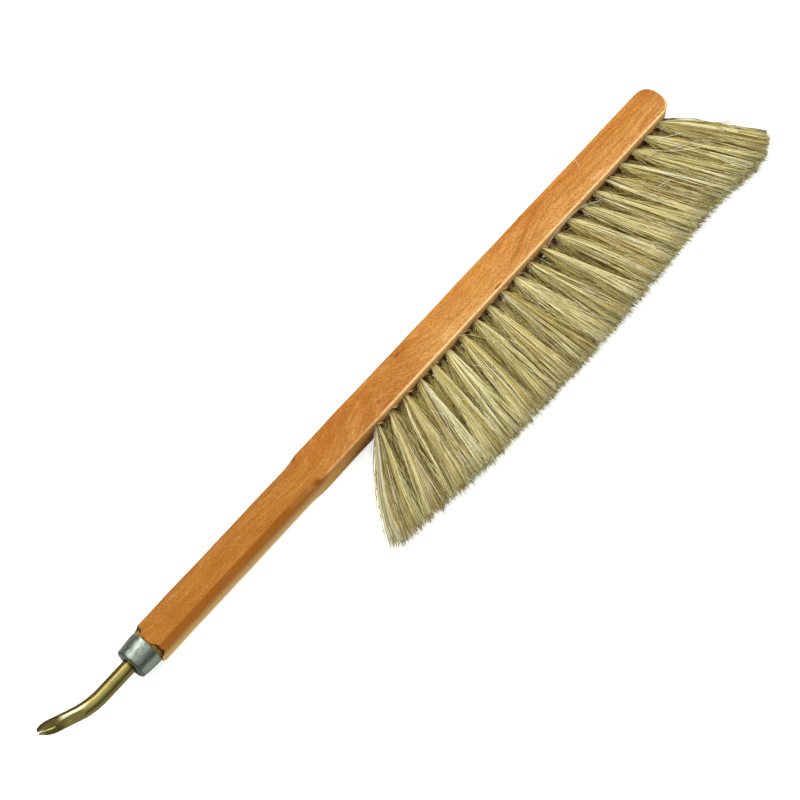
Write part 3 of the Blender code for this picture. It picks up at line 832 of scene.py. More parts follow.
class Tuft:
    """One tuft's strands.  The methods draw from one seeded generator, so
    build() calls them in a fixed order.

    sideways (along the brush) and lift (along Z) are offsets from the tuft's
    axis, one row per strand; part runs 0 to 1 from root to tip.
    """

    def __init__(self, row, index):
        self.rng = np.random.default_rng(7000 + index + (100 if row == "lower" else 0))
        self.row, self.index = row, index
        self.first, self.last = index == 0, index == TUFTS - 1
        self.count = STRANDS + (LOOSE if row == "upper" else 2 * LOOSE)
        self.loose = np.arange(self.count) >= STRANDS
        self.part = np.linspace(0, 1, POINTS)[None, :]
        self.mouth, way = tuft_axis(row, index)
        self.hole_lean = math.atan2(way[0], -way[1])
        self.lean = self.hole_lean + math.radians(LEAN_ADD[index])

    def chance(self):
        return self.rng.uniform(0, 1, self.count)

    def group(self):
        """Big locks, fine locks inside them and strands inside those, placed
        in the unit disc of the tuft's section; then spread toward the tip."""
        rng, count, part = self.rng, self.count, self.part
        radius = np.sqrt(rng.uniform(0, 1, LOCKS))
        lock_at = unit_disc(radius, rng.uniform(0, math.tau, LOCKS))
        lock_at = lock_at + rng.normal(0, 0.10, (LOCKS, 2))
        radius = rng.uniform(0, 1, FINE_LOCKS) ** 0.42
        fine_at = unit_disc(radius, rng.uniform(0, math.tau, FINE_LOCKS))
        gaps = ((fine_at[:, None, :] - lock_at[None, :, :]) ** 2).sum(2)
        nearest = gaps.argmin(1)
        pull = rng.uniform(0.15, 0.62, FINE_LOCKS)
        fine_middle = fine_at + (lock_at[nearest] - fine_at) * pull[:, None]
        self.fine = rng.integers(0, FINE_LOCKS, count)     # each strand's fine lock
        self.lock = nearest[self.fine]
        jitter = rng.normal(0, 0.045, (count, 2))
        tip = fine_at[self.fine] + jitter * 1.6
        middle = fine_middle[self.fine] + jitter
        root = fine_at[self.fine] * 0.95 + rng.normal(0, 0.10, (count, 2))
        root = root / np.maximum(1.0, np.linalg.norm(root, axis=1))[:, None]
        width = 7.6 + rng.uniform(-0.4, 0.4)
        gather = smooth_step((part - 0.04) / 0.42)
        gather = (gather * (1 - smooth_step((part - 0.55) / 0.45) * 0.75))[0][:, None]
        spread = (part ** 0.80)[0][:, None]
        unit = tip[:, None, :] + (middle - tip)[:, None, :] * gather
        offset = ROOT_RADIUS * root[:, None, :] * (1 - spread)
        offset = offset + unit * np.array([width, TUFT_DEPTH]) * spread
        self.sideways, self.lift = offset[..., 0], offset[..., 1]
        self.tip_side = tip[:, :1]

    def wave(self):
        """Slow bends shared by a lock, and each strand's own small ones."""
        rng, part, count = self.rng, self.part, self.count
        for waves, shared, own in WAVES:
            phase = rng.uniform(0, math.tau, FINE_LOCKS)[self.fine][:, None]
            phase = phase + rng.normal(0, 0.25, count)[:, None]
            size = rng.normal(0, shared, FINE_LOCKS)[self.fine]
            size = (size + rng.normal(0, own, count))[:, None]
            growth = part ** 0.9
            turn = part * waves * math.pi
            self.sideways = self.sideways + size * np.sin(turn + phase) * growth
            self.lift = self.lift + 0.4 * size * np.cos(turn + phase * 1.7) * growth
        bend = rng.normal(0, 0.60, (LOCKS, 2))[self.lock]
        self.sideways = self.sideways + bend[:, :1] * np.sin(part * math.pi * 1.1)
        self.lift = self.lift + 0.4 * bend[:, 1:] * np.sin(part * math.pi)

    def loosen(self):
        """Strays that leave their lock, and loose hairs low round the root."""
        rng, part, count, loose = self.rng, self.part, self.count, self.loose
        stray = (self.chance() < 0.035) & ~loose
        away = np.where(stray, rng.normal(0, 4.2, count), 0)[:, None]
        self.sideways = self.sideways + away * part ** 1.7
        away = np.where(stray, rng.normal(0, 1.0, count) + 0.8, 0)[:, None]
        self.lift = self.lift + away * part ** 1.5
        away = rng.normal(0, 4.3, count)
        if self.first:
            away = np.abs(away) - 1.0
        if self.last:
            away = 2.6 - np.abs(away)
        bulge = np.sin(np.clip(part * 1.15, 0, 1) * math.pi * 0.62)
        self.sideways = self.sideways + np.where(loose, away, 0)[:, None] * bulge
        sag = np.where(loose, rng.uniform(0.2, 2.2, count), 0)[:, None]
        self.lift = self.lift - sag * np.sin(part * math.pi * 0.8)
        if self.row == "lower":
            # crushed hairs bunch up between the holes
            crushed = loose & (self.chance() < 0.7)
            away = np.where(crushed, rng.uniform(-6.4, 6.4, count), 0)[:, None]
            away = np.maximum(away, -2.0) if self.first else away
            away = np.minimum(away, 1.0) if self.last else away
            at_once = away * (1.0 - np.exp(-part / 0.045)) * (1.0 - 0.5 * part)
            self.sideways = self.sideways + at_once
        # the rows part a little
        self.lift = self.lift + (1.2 if self.row == "upper" else -1.0) * part

    def flare(self):
        """The two outermost tufts at each end open outward."""
        part, index = self.part, self.index
        arch = np.sin(part * math.pi)
        if index < 2:
            outer = np.clip(0.35 - self.tip_side, 0, 1.4)
            self.sideways = self.sideways - (6.8, 1.4)[index] * outer * part ** 1.5
            self.sideways = self.sideways - (0.9, 0.3)[index] * arch
            if self.first:
                self.sideways = self.sideways - 3.0 * outer * np.sin(part ** 1.4 * math.pi)
        if index >= TUFTS - 2:
            place = index - (TUFTS - 2)
            outer = np.clip(self.tip_side + 0.1, 0, 1.2)
            self.sideways = self.sideways + (0.1, 1.9)[place] * outer * arch
            self.sideways = self.sideways + (0.5, 1.9)[place] * outer * part ** 2.2

    def lengths(self):
        """Up to the trimmed line, with some strands shorter."""
        rng, count = self.rng, self.count
        uneven = rng.normal(0, 0.62, count) + rng.normal(0, 0.55, FINE_LOCKS)[self.fine]
        uneven = np.where(self.chance() < 0.06, uneven - rng.uniform(0.8, 2.6, count), uneven)
        length = np.full(count, 60.0)
        sine, cosine = math.sin(self.lean), math.cos(self.lean)
        tip = self.sideways[:, -1]
        for _ in range(4):
            tip_x = self.mouth[0] + length * sine + tip * cosine
            length = (self.mouth[1] + tip * sine - trimmed_y(tip_x) - uneven) / cosine
        short = (self.chance() < 0.08) | self.loose
        length = np.where(short, length * rng.uniform(0.55, 0.96, count), length)
        return np.clip(length, 20, 80)

    def paths(self, length):
        part = self.part
        # the axis turns from the hole's direction to the tuft's own lean
        angle = self.hole_lean + (self.lean - self.hole_lean) * smooth_step(part / 0.35)
        ways = np.stack([np.sin(angle), -np.cos(angle), np.zeros_like(angle)], -1)[0]
        axis = np.cumsum(ways * np.diff(np.concatenate([[0.0], part[0]]))[:, None], 0)
        side = np.stack([np.cos(angle), np.sin(angle), np.zeros_like(angle)], -1)[0]
        paths = (
            self.mouth[None, None, :]
            + axis[None, :, :] * length[:, None, None]
            + side[None, :, :] * self.sideways[:, :, None]
        )
        paths[:, :, 2] += self.lift
        # one more point, 4 mm down the hole
        out = np.array([math.sin(self.hole_lean), -math.cos(self.hole_lean), 0.0])
        paths = np.concatenate([paths[:, :1, :] - out * 4.0, paths], 1)
        # hairs below 2.2 mm are pressed flat toward the floor
        lowest = 0.35
        z = paths[:, :, 2]
        pressed = lowest + (2.2 - lowest) * np.exp((z - 2.2) / 1.85)
        paths[:, :, 2] = np.where(z < 2.2, pressed, z)
        return paths

    def radii(self):
        rng, count = self.rng, self.count
        coarse = self.chance() < 0.3
        thick = rng.uniform(0.13, 0.175, count)
        thick = np.where(coarse, thick, rng.uniform(0.090, 0.130, count))[:, None]
        return thick * np.concatenate([[1.0], 1.0 - 0.22 * self.part[0] ** 3.0])[None, :]

    def strand_tones(self):
        """One tone per strand: a tuft has its cast, and so has each lock."""
        rng, count, fine = self.rng, self.count, self.fine
        shade = (
            STRAW + rng.normal(0, 0.20) + rng.normal(0, 0.40, LOCKS)[self.lock]
            + rng.normal(0, 1.30, FINE_LOCKS)[fine] + rng.normal(0, 0.85, count)
        )
        tone = np.clip(np.rint(shade), DARK_BROWN, CREAM).astype(int)
        kind = self.chance()
        lock_kind = rng.uniform(0, 1, FINE_LOCKS)[fine]
        tone = np.where(kind < 0.045, NEAR_BLACK, tone)
        for low, high, odd in (
            (0.040, 0.075, DARK_BROWN), (0.075, 0.085, GREY), (0.085, 0.090, GREY_WHITE),
        ):
            tone = np.where((kind > low) & (kind < high), odd, tone)
        red = lock_kind < 0.05
        dark = (lock_kind > 0.05) & (lock_kind < 0.12)
        tan = (lock_kind > 0.12) & (lock_kind < 0.22)
        tone = np.where(red & (kind < 0.6), RED_BROWN, tone)
        tone = np.where(dark, np.where(kind < 0.6, DARK_BROWN, BROWN), tone)
        tone = np.where(tan & (kind > 0.35), TAN, tone)
        # painted shade: loose hairs take dark tones for the shade round the roots
        loose_shade_tones = [NEAR_BLACK, DARK_BROWN, BROWN, BROWN, OLIVE_BROWN, OLIVE_BROWN, KHAKI]
        tone = np.where(self.loose, rng.choice(loose_shade_tones, count), tone)
        if self.first:
            # the claw-side half of the first tuft is greyer
            pale = (self.tip_side[:, 0] < -0.35) & (self.chance() < 0.60) & ~self.loose
            pale_tones = [GREY_WHITE, GREY, GREY, PALE_STRAW, CREAM]
            tone = np.where(pale, rng.choice(pale_tones, count), tone)
        return tone

    def tones(self):
        """A tone per segment: changes at the tip, the root and the middle."""
        rng, count = self.rng, self.count
        tone = self.strand_tones()
        tones = np.repeat(tone[:, None], POINTS, 1)
        plain = (tone > NEAR_BLACK) & (tone < GREY)
        draw = self.chance()
        darker = np.maximum(tone - rng.integers(1, 5, count), NEAR_BLACK)[:, None]
        paler = np.minimum(tone + 1, CREAM)[:, None]
        tones[:, -2:] = np.where((plain & (draw < 0.20))[:, None], darker, tones[:, -2:])
        tones[:, -2:] = np.where((plain & (draw > 0.62))[:, None], paler, tones[:, -2:])
        dark_root = plain & (self.chance() < 0.5)
        tones[:, 0] = np.where(dark_root, np.maximum(tone - 1, DARK_BROWN), tones[:, 0])
        if self.row == "lower":
            # painted shade: the lower row is darker at its root
            for segment, drop in ((0, 2), (1, 1)):
                shaded = np.maximum(tone - drop, NEAR_BLACK)
                tones[:, segment] = np.where(plain, shaded, tones[:, segment])
        varied = plain & (self.chance() < 0.3)
        other = np.clip(tone + rng.integers(-1, 2, count), DARK_BROWN, CREAM)
        tones[:, 3:5] = np.where(varied[:, None], other[:, None], tones[:, 3:5])
        return tones

    def build(self):
        self.group()
        self.wave()
        self.loosen()
        self.flare()
        paths = self.paths(self.lengths())
        radii = self.radii()
        name = "hair_%s_%02d" % (self.row, self.index + 1)
        return hair_object(name, paths, radii, self.tones())


for row in ROWS:
    for index in range(TUFTS):
        hand_over(Tuft(row, index).build(), "tuft_%s_%02d" % (row, index + 1))


# ---------------------------------------------------------------- stray hairs
STRAY_POINTS = 14
# Hairs through points (XS, y, z), with a radius and a tone.
# Two loop up over the roots past the middle.
LOOPED_HAIRS = (
    ([(301, -15, 7.5), (303, -13.4, 9), (306, -11.4, 14.2), (313, -10.6, 17.0),
      (324, -10.5, 18.6), (333, -10.8, 17.6), (338, -11.6, 16.2), (342.2, -13.9, 15.6),
      (345.6, -15.8, 15.2), (347.2, -15.6, 14.6), (347.5, -14.2, 13.6)], 0.16, GREY_WHITE),
    ([(304, -13, 8), (307.5, -11.2, 13.0), (314, -10.5, 16.2), (323, -10.4, 17.8)],
     0.10, CREAM),
)
# One bends over the round end, four cross the far tufts, and four curl off
# the first tuft's outer side.
LONG_HAIRS = (
    ([(408.5, -11, 14.5), (411.5, -13.0, 15.6), (418.7, -21.8, 16.6), (422.8, -29.5, 17.0),
      (425.2, -38.0, 17.0), (426.0, -46.0, 16.6)], 0.17, NEAR_BLACK),
    ([(385.4, -20.2, 16.0), (393.8, -24.0, 16.8), (404.4, -30.3, 17.0), (411.4, -34.0, 17.0),
      (418.1, -36.7, 16.8), (423.4, -39.4, 16.3)], 0.16, DARK_BROWN),
    ([(395.5, -27.0, 17.0), (400.0, -28.9, 17.3), (404.4, -30.9, 17.4),
      (411.4, -34.6, 17.2)], 0.15, GREY_WHITE),
    ([(398.3, -17.0, 16.0), (403.4, -21.0, 16.6), (410.1, -24.9, 16.0)], 0.15, GREY_WHITE),
    ([(373.3, -35.2, 16.6), (377.2, -36.6, 17.0), (381.5, -37.8, 16.6)], 0.17, GREY_WHITE),
    ([(158, -15, 11), (150, -24, 10), (142.5, -30.5, 9), (135.5, -33, 8.5), (128, -38, 8),
      (122.4, -42, 7.5)], 0.17, DARK_BROWN),
    ([(157, -16, 8), (149, -25, 8), (141, -32.5, 8), (133.5, -36, 7.5), (127, -41, 7),
      (124, -47, 6.5)], 0.16, DARK_BROWN),
    ([(157, -18, 8), (146, -33, 7), (138, -44, 6.5), (129.5, -51, 6), (125, -58, 5)],
     0.16, BROWN),
    ([(158, -17, 11), (149, -27, 12), (139, -34, 11), (130, -41, 9), (125, -46, 8)],
     0.16, GREY),
)


def curve_through(points, steps):
    """A smooth (Catmull-Rom) path through a few points."""
    points = np.array(points, float)
    final = len(points) - 1
    out = []
    for place in np.linspace(0, final, steps):
        i = int(min(max(math.floor(place), 0), final - 1))
        f = place - i
        before, start, end = points[max(i - 1, 0)], points[i], points[i + 1]
        after = points[min(i + 2, final)]
        out.append(0.5 * (
            (2 * start) + (end - before) * f
            + (2 * before - 5 * start + 4 * end - after) * f * f
            + (3 * start - before - 3 * end + after) * f ** 3
        ))
    return np.array(out)


def end_wisps(rng):
    """Wisps over the round end."""
    for k in range(8):
        f = k / 7
        points = [
            (409 + rng.uniform(-3, 1), -12, 14),
            (416 + rng.uniform(-1, 1), -23 + 2 * f, 14.5),
            (425 + rng.uniform(-2, 2) - 3 * f, -38 + rng.uniform(-2, 2),
             14 + rng.uniform(-1, 1)),
            (441 + rng.uniform(-3, 3) - 6 * f, -56 + rng.uniform(-4, 4) - 4 * f,
             13 + rng.uniform(-2, 2)),
        ]
        radius = rng.uniform(0.15, 0.19)
        tones = [DARK_BROWN, BROWN, BROWN, OLIVE_BROWN, OLIVE_BROWN]
        yield points, radius, int(rng.choice(tones))


def crossing_hairs(rng):
    """Bowed hairs crossing over the tufts."""
    for _ in range(34):
        x = rng.uniform(165, 410)
        y = -rng.uniform(16, 48)
        lean = np.interp(x, [165, 410], [-0.42, 0.42]) + rng.normal(0, 0.30)
        run = rng.uniform(12, 26)
        bow = rng.normal(0, 2.2)
        points = []
        for k in range(4):
            f = k / 3
            arch = math.sin(f * math.pi)
            points.append((
                x + math.sin(lean) * run * f + bow * arch * 0.7,
                y - math.cos(lean) * run * f,
                16.4 + 0.8 * arch - 0.6 * f,
            ))
        radius = rng.uniform(0.08, 0.12)
        tones = [
            NEAR_BLACK, NEAR_BLACK, DARK_BROWN, DARK_BROWN, BROWN,
            GREY, GREY_WHITE, GREY_WHITE, CREAM,
        ]
        yield points, radius, int(rng.choice(tones))


def untrimmed_hairs(rng):
    """Single hairs past the trimmed line."""
    for _ in range(60):
        x = rng.uniform(126, 444)
        y = trimmed_y(x + RIM_X)
        lean = np.interp(x, [126, 444], [-0.5, 0.5]) + rng.normal(0, 0.35)
        past = rng.uniform(1.2, 3.6)
        z = rng.uniform(5.0, 15.0)
        sine, cosine = math.sin(lean), math.cos(lean)
        points = [
            (x - sine * 9, y + cosine * 9, z),
            (x - sine * 3, y + cosine * 3, z),
            (x + sine * past, y - cosine * past, z + rng.normal(0, 0.6)),
        ]
        tones = [NEAR_BLACK, DARK_BROWN, BROWN, OLIVE_BROWN, GREY]
        yield points, 0.12, int(rng.choice(tones))


def build_strays():
    rng = np.random.default_rng(404)
    hairs = [
        *LOOPED_HAIRS, *end_wisps(rng), *LONG_HAIRS,
        *crossing_hairs(rng), *untrimmed_hairs(rng),
    ]
    taper = 1 - 0.5 * np.linspace(0, 1, STRAY_POINTS) ** 2
    paths = np.array([curve_through(points, STRAY_POINTS) for points, _, _ in hairs])
    paths[:, :, 0] += RIM_X
    radii = np.array([radius * taper for _, radius, _ in hairs])
    tones = np.array([np.full(STRAY_POINTS - 1, tone) for _, _, tone in hairs])
    return hair_object("stray_hairs", paths, radii, tones)


hand_over(build_strays())


# ---------------------------------------------------------------------- stock
TENON_LENGTH = 11.5
CHAMFER = 3.3
SHAVED = 0.5            # the handle's sides are this much lower than the head's
HANDLE_END = 123.5      # XS where the chamfers run out
BLADE_RADIUS = 33.0     # of the run-outs
# turned waste round the tenon: XS, radius; the last four make the shoulder
WASTE = (
    (-14.5, 20.0), (-14.5, 6.7), (-TENON_LENGTH, 6.7), (-10.0, 8.2), (0.2, 9.0),
    (0.6, 9.0), (0.75, 9.9), (0.8, 12.0), (0.8, 20.0),
)
# a bite out of each chamfer: centre and half width in degrees, depth
BITES = ((52.0, 33.0, 3.3), (-50.0, 33.0, 2.2), (-138.0, 26.0, 2.0), (131.0, 22.0, 2.4))


def stock_blank():
    """The square strip with a rounded end."""
    round_x = -RIM_X - END_RADIUS
    outline = [(RIM_X - TENON_LENGTH, -HALF), (round_x, -HALF)]
    steps = 48
    for i in range(1, steps):
        angle = -math.pi / 2 + math.pi * i / steps
        # a little squarer than a half circle, most on the hair's side
        power = 0.84 if angle > 0 else 0.76
        x = math.cos(angle) ** power
        y = math.copysign(abs(math.sin(angle)) ** power, angle)
        outline.append((round_x + END_RADIUS * x, END_RADIUS * y))
    outline += [(round_x, HALF), (RIM_X - TENON_LENGTH, HALF)]
    lifted = Matrix.Translation((0, 0, AXIS_Z * MM))
    body = prism("stock_blank", outline, STOCK_WIDTH, lifted)
    arris = body.modifiers.new("arris", "BEVEL")
    arris.width = 0.8 * MM
    arris.segments = 5
    arris.limit_method = "ANGLE"
    arris.angle_limit = math.radians(60)
    return body


def blade_profile(level, run, end_x, over, steps, top):
    """A cutter at a level that curves up over a run to end_x, and over
    beyond it, closed at the height top."""
    start_x = RIM_X - 20.0
    full_x = end_x - run
    profile = [(start_x, level), (full_x, level)]
    last = math.asin((run + over) / BLADE_RADIUS)
    for i in range(1, steps + 1):
        angle = last * i / steps
        rise = BLADE_RADIUS * (1.0 - math.cos(angle))
        profile.append((full_x + BLADE_RADIUS * math.sin(angle), level + rise))
    return profile + [(profile[-1][0], top), (start_x, top)]


def handle_cutters():
    """Four chamfer blades and one that shaves the +Y side."""
    cutters = []
    corner = HALF * math.sqrt(2.0)
    level = corner - CHAMFER / math.sqrt(2.0)
    rise = corner - level
    run = math.sqrt(2.0 * BLADE_RADIUS * rise - rise * rise)
    end_x = RIM_X + HANDLE_END
    profile = blade_profile(level, run, end_x, over=6.0, steps=24, top=corner + 6.0)
    for i in range(4):
        turn = math.radians(45 + 90 * i)
        y = -SHAVED if math.cos(turn) > 0 else 0.0
        place = Matrix.Translation((0.0, y * MM, AXIS_Z * MM)) @ Matrix.Rotation(turn, 4, "X")
        cutters.append(prism("blade_%d" % i, profile, 14.0, place))
    run = math.sqrt(2.0 * BLADE_RADIUS * SHAVED)
    profile = blade_profile(HALF - SHAVED, run, end_x - 1.5, over=3.0, steps=12, top=HALF + 4.0)
    lifted = Matrix.Translation((0, 0, AXIS_Z * MM))
    cutters.append(prism("shave", profile, 24.0, lifted))
    return cutters


def neck_cutter():
    """Turns the tenon and tears the shoulder."""
    phase = np.random.default_rng(5).uniform(0, math.tau, 8)

    def ragged(k, along, radius, angle):
        if k < 5:
            return along, radius
        degrees = math.degrees((angle + math.pi) % math.tau - math.pi)
        depth = 0.0
        for centre, half, deep in BITES:
            share = abs((degrees - centre + 180.0) % 360.0 - 180.0) / half
            depth = max(depth, deep * (1.0 - min(1.0, share) ** 2.6))
        # sizes of the tears with 9, 17, 31 and 53 teeth round the shoulder
        tear = (
            0.20 * math.sin(angle * 9 + phase[0]) + 0.16 * math.sin(angle * 17 + phase[1])
            + 0.12 * math.sin(angle * 31 + phase[2]) + 0.08 * math.sin(angle * 53 + phase[3])
        )
        tear = max(-0.35, tear * (0.6 + 0.5 * depth))
        reach = {5: 0.50, 6: 0.74}.get(k, 1.0)
        return along + depth * reach + tear, radius

    return object_from(lathe(WASTE, 160, ragged), "neck", (TENON,))


def add_cylinder(bm, radius, length, segments, matrix):
    bmesh.ops.create_cone(
        bm, cap_ends=True, segments=segments, radius1=radius * MM, radius2=radius * MM,
        depth=length * MM, matrix=matrix,
    )


def tang_cutter():
    bm = bmesh.new()
    place = Matrix.Translation(((RIM_X + 4.55) * MM, 0, AXIS_Z * MM))
    along_x = Matrix.Rotation(math.radians(90), 4, "Y")
    add_cylinder(bm, radius=ROD_HOLE, length=40.1, segments=48, matrix=place @ along_x)
    return object_from(bm, "tang", (HOLE,))


def drill_cutter():
    """The holes of all tufts in one cutter."""
    bm = bmesh.new()
    up = Vector((0, 0, 1))
    for row in ROWS:
        for index in range(TUFTS):
            mouth, way = tuft_axis(row, index)
            out = Vector(way)
            turn = Matrix((up.cross(out), up, out)).transposed().to_4x4()
            sunk = Matrix.Translation((0, 0, -4.5 * MM))
            matrix = Matrix.Translation(Vector(mouth) * MM) @ turn @ sunk
            add_cylinder(bm, radius=2.25, length=15.0, segments=20, matrix=matrix)
    return object_from(bm, "drill", (HOLE,))


def unstraighten(bm):
    """Adds loops along the strip and moves them a little off straight."""
    for x in np.arange(RIM_X + 6.0, -RIM_X - 12.0, 5.0):
        bmesh.ops.bisect_plane(
            bm, geom=bm.verts[:] + bm.edges[:] + bm.faces[:], dist=1e-7,
            plane_co=(x * MM, 0, 0), plane_no=(1, 0, 0),
        )
    points = np.array([v.co for v in bm.verts]) / MM
    inside = smooth_step((points[:, 0] - (RIM_X + 3.0)) / 6.0)
    stretched = points * np.array([1, 0.4, 0.4])
    shift_y = wave_noise(stretched, wavelength=46.0, seed=21) * 0.14 * inside
    shift_z = wave_noise(stretched, wavelength=52.0, seed=22) * 0.10 * inside
    for vert, move_y, move_z, point in zip(bm.verts, shift_y, shift_z, points):
        vert.co.y += move_y * MM
        vert.co.z += move_z * MM * min(1.0, point[2] / 8.0)


def build_stock():
    """Square head with a rounded end, chamfered handle, turned neck and
    tenon, drilled holes."""
    body = stock_blank()
    cutters = handle_cutters()
    for cutter in cutters:
        cutter.data.materials.append(WOOD)
        cut(body, cutter)
    body.data.materials.append(WOOD)
    for make_cutter in (neck_cutter, tang_cutter, drill_cutter):
        cutter = make_cutter()
        cut(body, cutter)
        cutters.append(cutter)
    bm, materials = carved(body, cutters)
    unstraighten(bm)
    return object_from(bm, "stock", materials, sharp_above=32.0)


hand_over(build_stock(), "wooden_stock")


# -------------------------------------------------------------------- ferrule
CAP_LENGTH = 12.5
CAP_RIM = 9.9           # radius at the rim
CAP_FRONT = 9.1         # radius at the closed end, toward the claw
CAP_CORNER = 1.4
CAP_WALL = 0.6


def cap_side(inset, corner_steps, side_steps=10):
    """Half the cap's profile, inset from its outside: (XS, radius)."""
    radius = CAP_CORNER - inset
    centre_x, centre_r = -CAP_LENGTH + CAP_CORNER, CAP_FRONT - CAP_CORNER
    points = []
    for i in range(side_steps):
        t = i / side_steps
        points.append((centre_x * t, CAP_RIM - inset - (CAP_RIM - CAP_FRONT) * t ** 1.6))
    for i in range(corner_steps + 1):
        angle = math.radians(90) * i / corner_steps
        x = centre_x - radius * math.sin(angle)
        points.append((x, centre_r + radius * math.cos(angle)))
    points.append((centre_x - radius, centre_r * 0.5 + ROD_HOLE * 0.5))
    points.append((centre_x - radius, ROD_HOLE))
    return points


def build_ferrule():
    """A drawn cap with a rounded corner and an uneven rim."""
    outer = cap_side(0.0, corner_steps=10)
    inner = cap_side(CAP_WALL, corner_steps=6)
    phase = np.random.default_rng(11).uniform(0, math.tau, 8)

    def wobble(k, along, radius, angle):
        # slightly out of round, except at the rod's hole
        moved = radius - 0.06 * (1 + math.sin(2 * angle + phase[0]))
        moved = moved - 0.03 * (1 + math.sin(5 * angle + phase[1] + along * 0.3))
        if radius < ROD_HOLE + 0.01:
            moved = radius
        elif k >= len(outer) and along > -9:
            moved = max(moved, 9.05)
        # a rim that was never cut quite square
        nearness = math.exp(-((along / 1.5) ** 2))
        uneven = (
            0.16 + 0.10 * math.sin(3 * angle + phase[2])
            + 0.06 * math.sin(8 * angle + phase[3]) + 0.04 * math.sin(17 * angle + phase[4])
        )
        return along - nearness * uneven, moved

    bm = lathe(outer + inner[::-1], 128, wobble)
    return object_from(bm, "ferrule_cap", (ALUMINIUM,), sharp_above=50.0)


hand_over(build_ferrule(), "ferrule")


# ------------------------------------------------------------------ claw hook
TANG_LENGTH = 24.0
TANG_POINT = 5.0                # its tapered end
BEND = math.radians(21.6)
BEND_LENGTH = BEND_RADIUS * BEND
CLAW_LENGTH = 20.8
HOOK_END = BEND_START + BEND_LENGTH + CLAW_LENGTH
FLAT_LENGTH = 25.0              # the facet forged on the claw
FLAT_TURN = math.radians(30.0)  # the facet's roll about the bar
FLAT_EDGE = math.pi / 7         # half the facet's angle where it starts
CLAW_THICKNESS = 1.6
TIP_LENGTH = 7.5                # where the claw narrows
FLAT_POINTS = 25
ROUND_POINTS = 85
# outline of the notch's cutter, from the tip: x, y
NOTCH = (
    (-9.0, 0.62), (-6.0, 0.52), (-3.0, 0.40), (2.0, 0.20),
    (2.0, 1.15), (-3.0, 0.86), (-6.0, 0.80), (-9.0, 0.80),
)
# slope inside the notch, from the tip: x, inner y, outer y, lowest z
SLOPE = (
    (-9.2, 0.72, 0.95, -2.4), (-6.0, 0.75, 1.75, -3.1), (-3.0, 0.80, 2.05, -3.5),
    (0.0, 0.95, 1.95, -3.6), (1.5, 1.0, 1.75, -3.6),
)


def hook_axis(s):
    """Centre and heading at a distance s from the rim toward the claw."""
    if s <= BEND_START:
        return Vector((-s, 0, 0)), 0.0
    if s <= BEND_START + BEND_LENGTH:
        angle = (s - BEND_START) / BEND_RADIUS
        x = -BEND_START - BEND_RADIUS * math.sin(angle)
        return Vector((x, BEND_RADIUS * (1 - math.cos(angle)), 0)), angle
    bent, _ = hook_axis(BEND_START + BEND_LENGTH)
    way = Vector((-math.cos(BEND), math.sin(BEND), 0))
    return bent + way * (s - BEND_START - BEND_LENGTH), BEND


def hook_stations():
    stations = [-TANG_LENGTH, -TANG_LENGTH + 0.4, -TANG_LENGTH + TANG_POINT, 0.0, 6.0, 12.0]
    stations += list(np.arange(14.0, HOOK_END - 8.0, 1.0))
    stations += list(np.arange(HOOK_END - 8.0, HOOK_END - 1.0, 0.5))
    stations += [HOOK_END - gap for gap in (0.8, 0.6, 0.4, 0.25, 0.12, 0.04)]
    return stations + [HOOK_END]


def hook_section(s):
    """The bar's section at s: points (sideways, outward) from the facet's
    middle, facet first and round side after it."""
    left = HOOK_END - s
    radius = ROD_RADIUS
    if s < -TANG_LENGTH + TANG_POINT:
        radius = ROD_RADIUS * (0.35 + 0.65 * max(0.0, (s + TANG_LENGTH)) / TANG_POINT)
    level = radius      # the facet's height over the axis
    narrow = 1.0
    dish = 0.0          # how far the facet is hollowed
    forged = left < FLAT_LENGTH
    if forged:
        t = 1.0 - left / FLAT_LENGTH
        ease = 0.12 * t + 0.88 * float(smooth_step(t)) ** 2.1
        drop = -1 + CLAW_THICKNESS / ROD_RADIUS - math.cos(FLAT_EDGE)
        level = radius * (math.cos(FLAT_EDGE) + drop * ease)
        narrow -= 0.07 * math.sin(math.pi * t) * (1 - t)
        dish = 0.22 * float(smooth_step((t - 0.15) / 0.5))
    if left < TIP_LENGTH:
        t = 1.0 - left / TIP_LENGTH
        narrow *= 0.34 + 0.66 * math.sqrt(max(0.0, 1.0 - t ** 2.2))
    level = min(level, radius * math.cos(FLAT_EDGE))
    edge = math.acos(level / radius)
    wide = radius * math.sin(edge)
    soft = 0.16         # easing of the corner
    flat = []
    for i in range(FLAT_POINTS):
        u = -1.0 + 2.0 * i / (FLAT_POINTS - 1)
        if forged:
            flat.append((u * (wide - soft), level - dish * (1.0 - u * u)))
        else:
            angle = u * (edge - 0.04)
            flat.append((radius * math.sin(angle), radius * math.cos(angle)))
    first = edge + soft / radius
    last = math.tau - first
    back = []
    for i in range(ROUND_POINTS):
        angle = first + (last - first) * i / (ROUND_POINTS - 1)
        back.append((radius * math.sin(angle), radius * math.cos(angle)))
    height = level if forged else radius * math.cos(edge)
    blend = 0.55 if forged else 1.0

    def corner(before, after, x):
        middle_x = (before[0] + after[0]) / 2
        middle_y = (before[1] + after[1]) / 2
        return middle_x + (x - middle_x) * blend, middle_y + (height - middle_y) * blend

    ring = [
        *flat, corner(flat[-1], back[0], wide), *back, corner(back[-1], flat[0], -wide),
    ]
    return [(sideways * narrow, out) for sideways, out in ring]


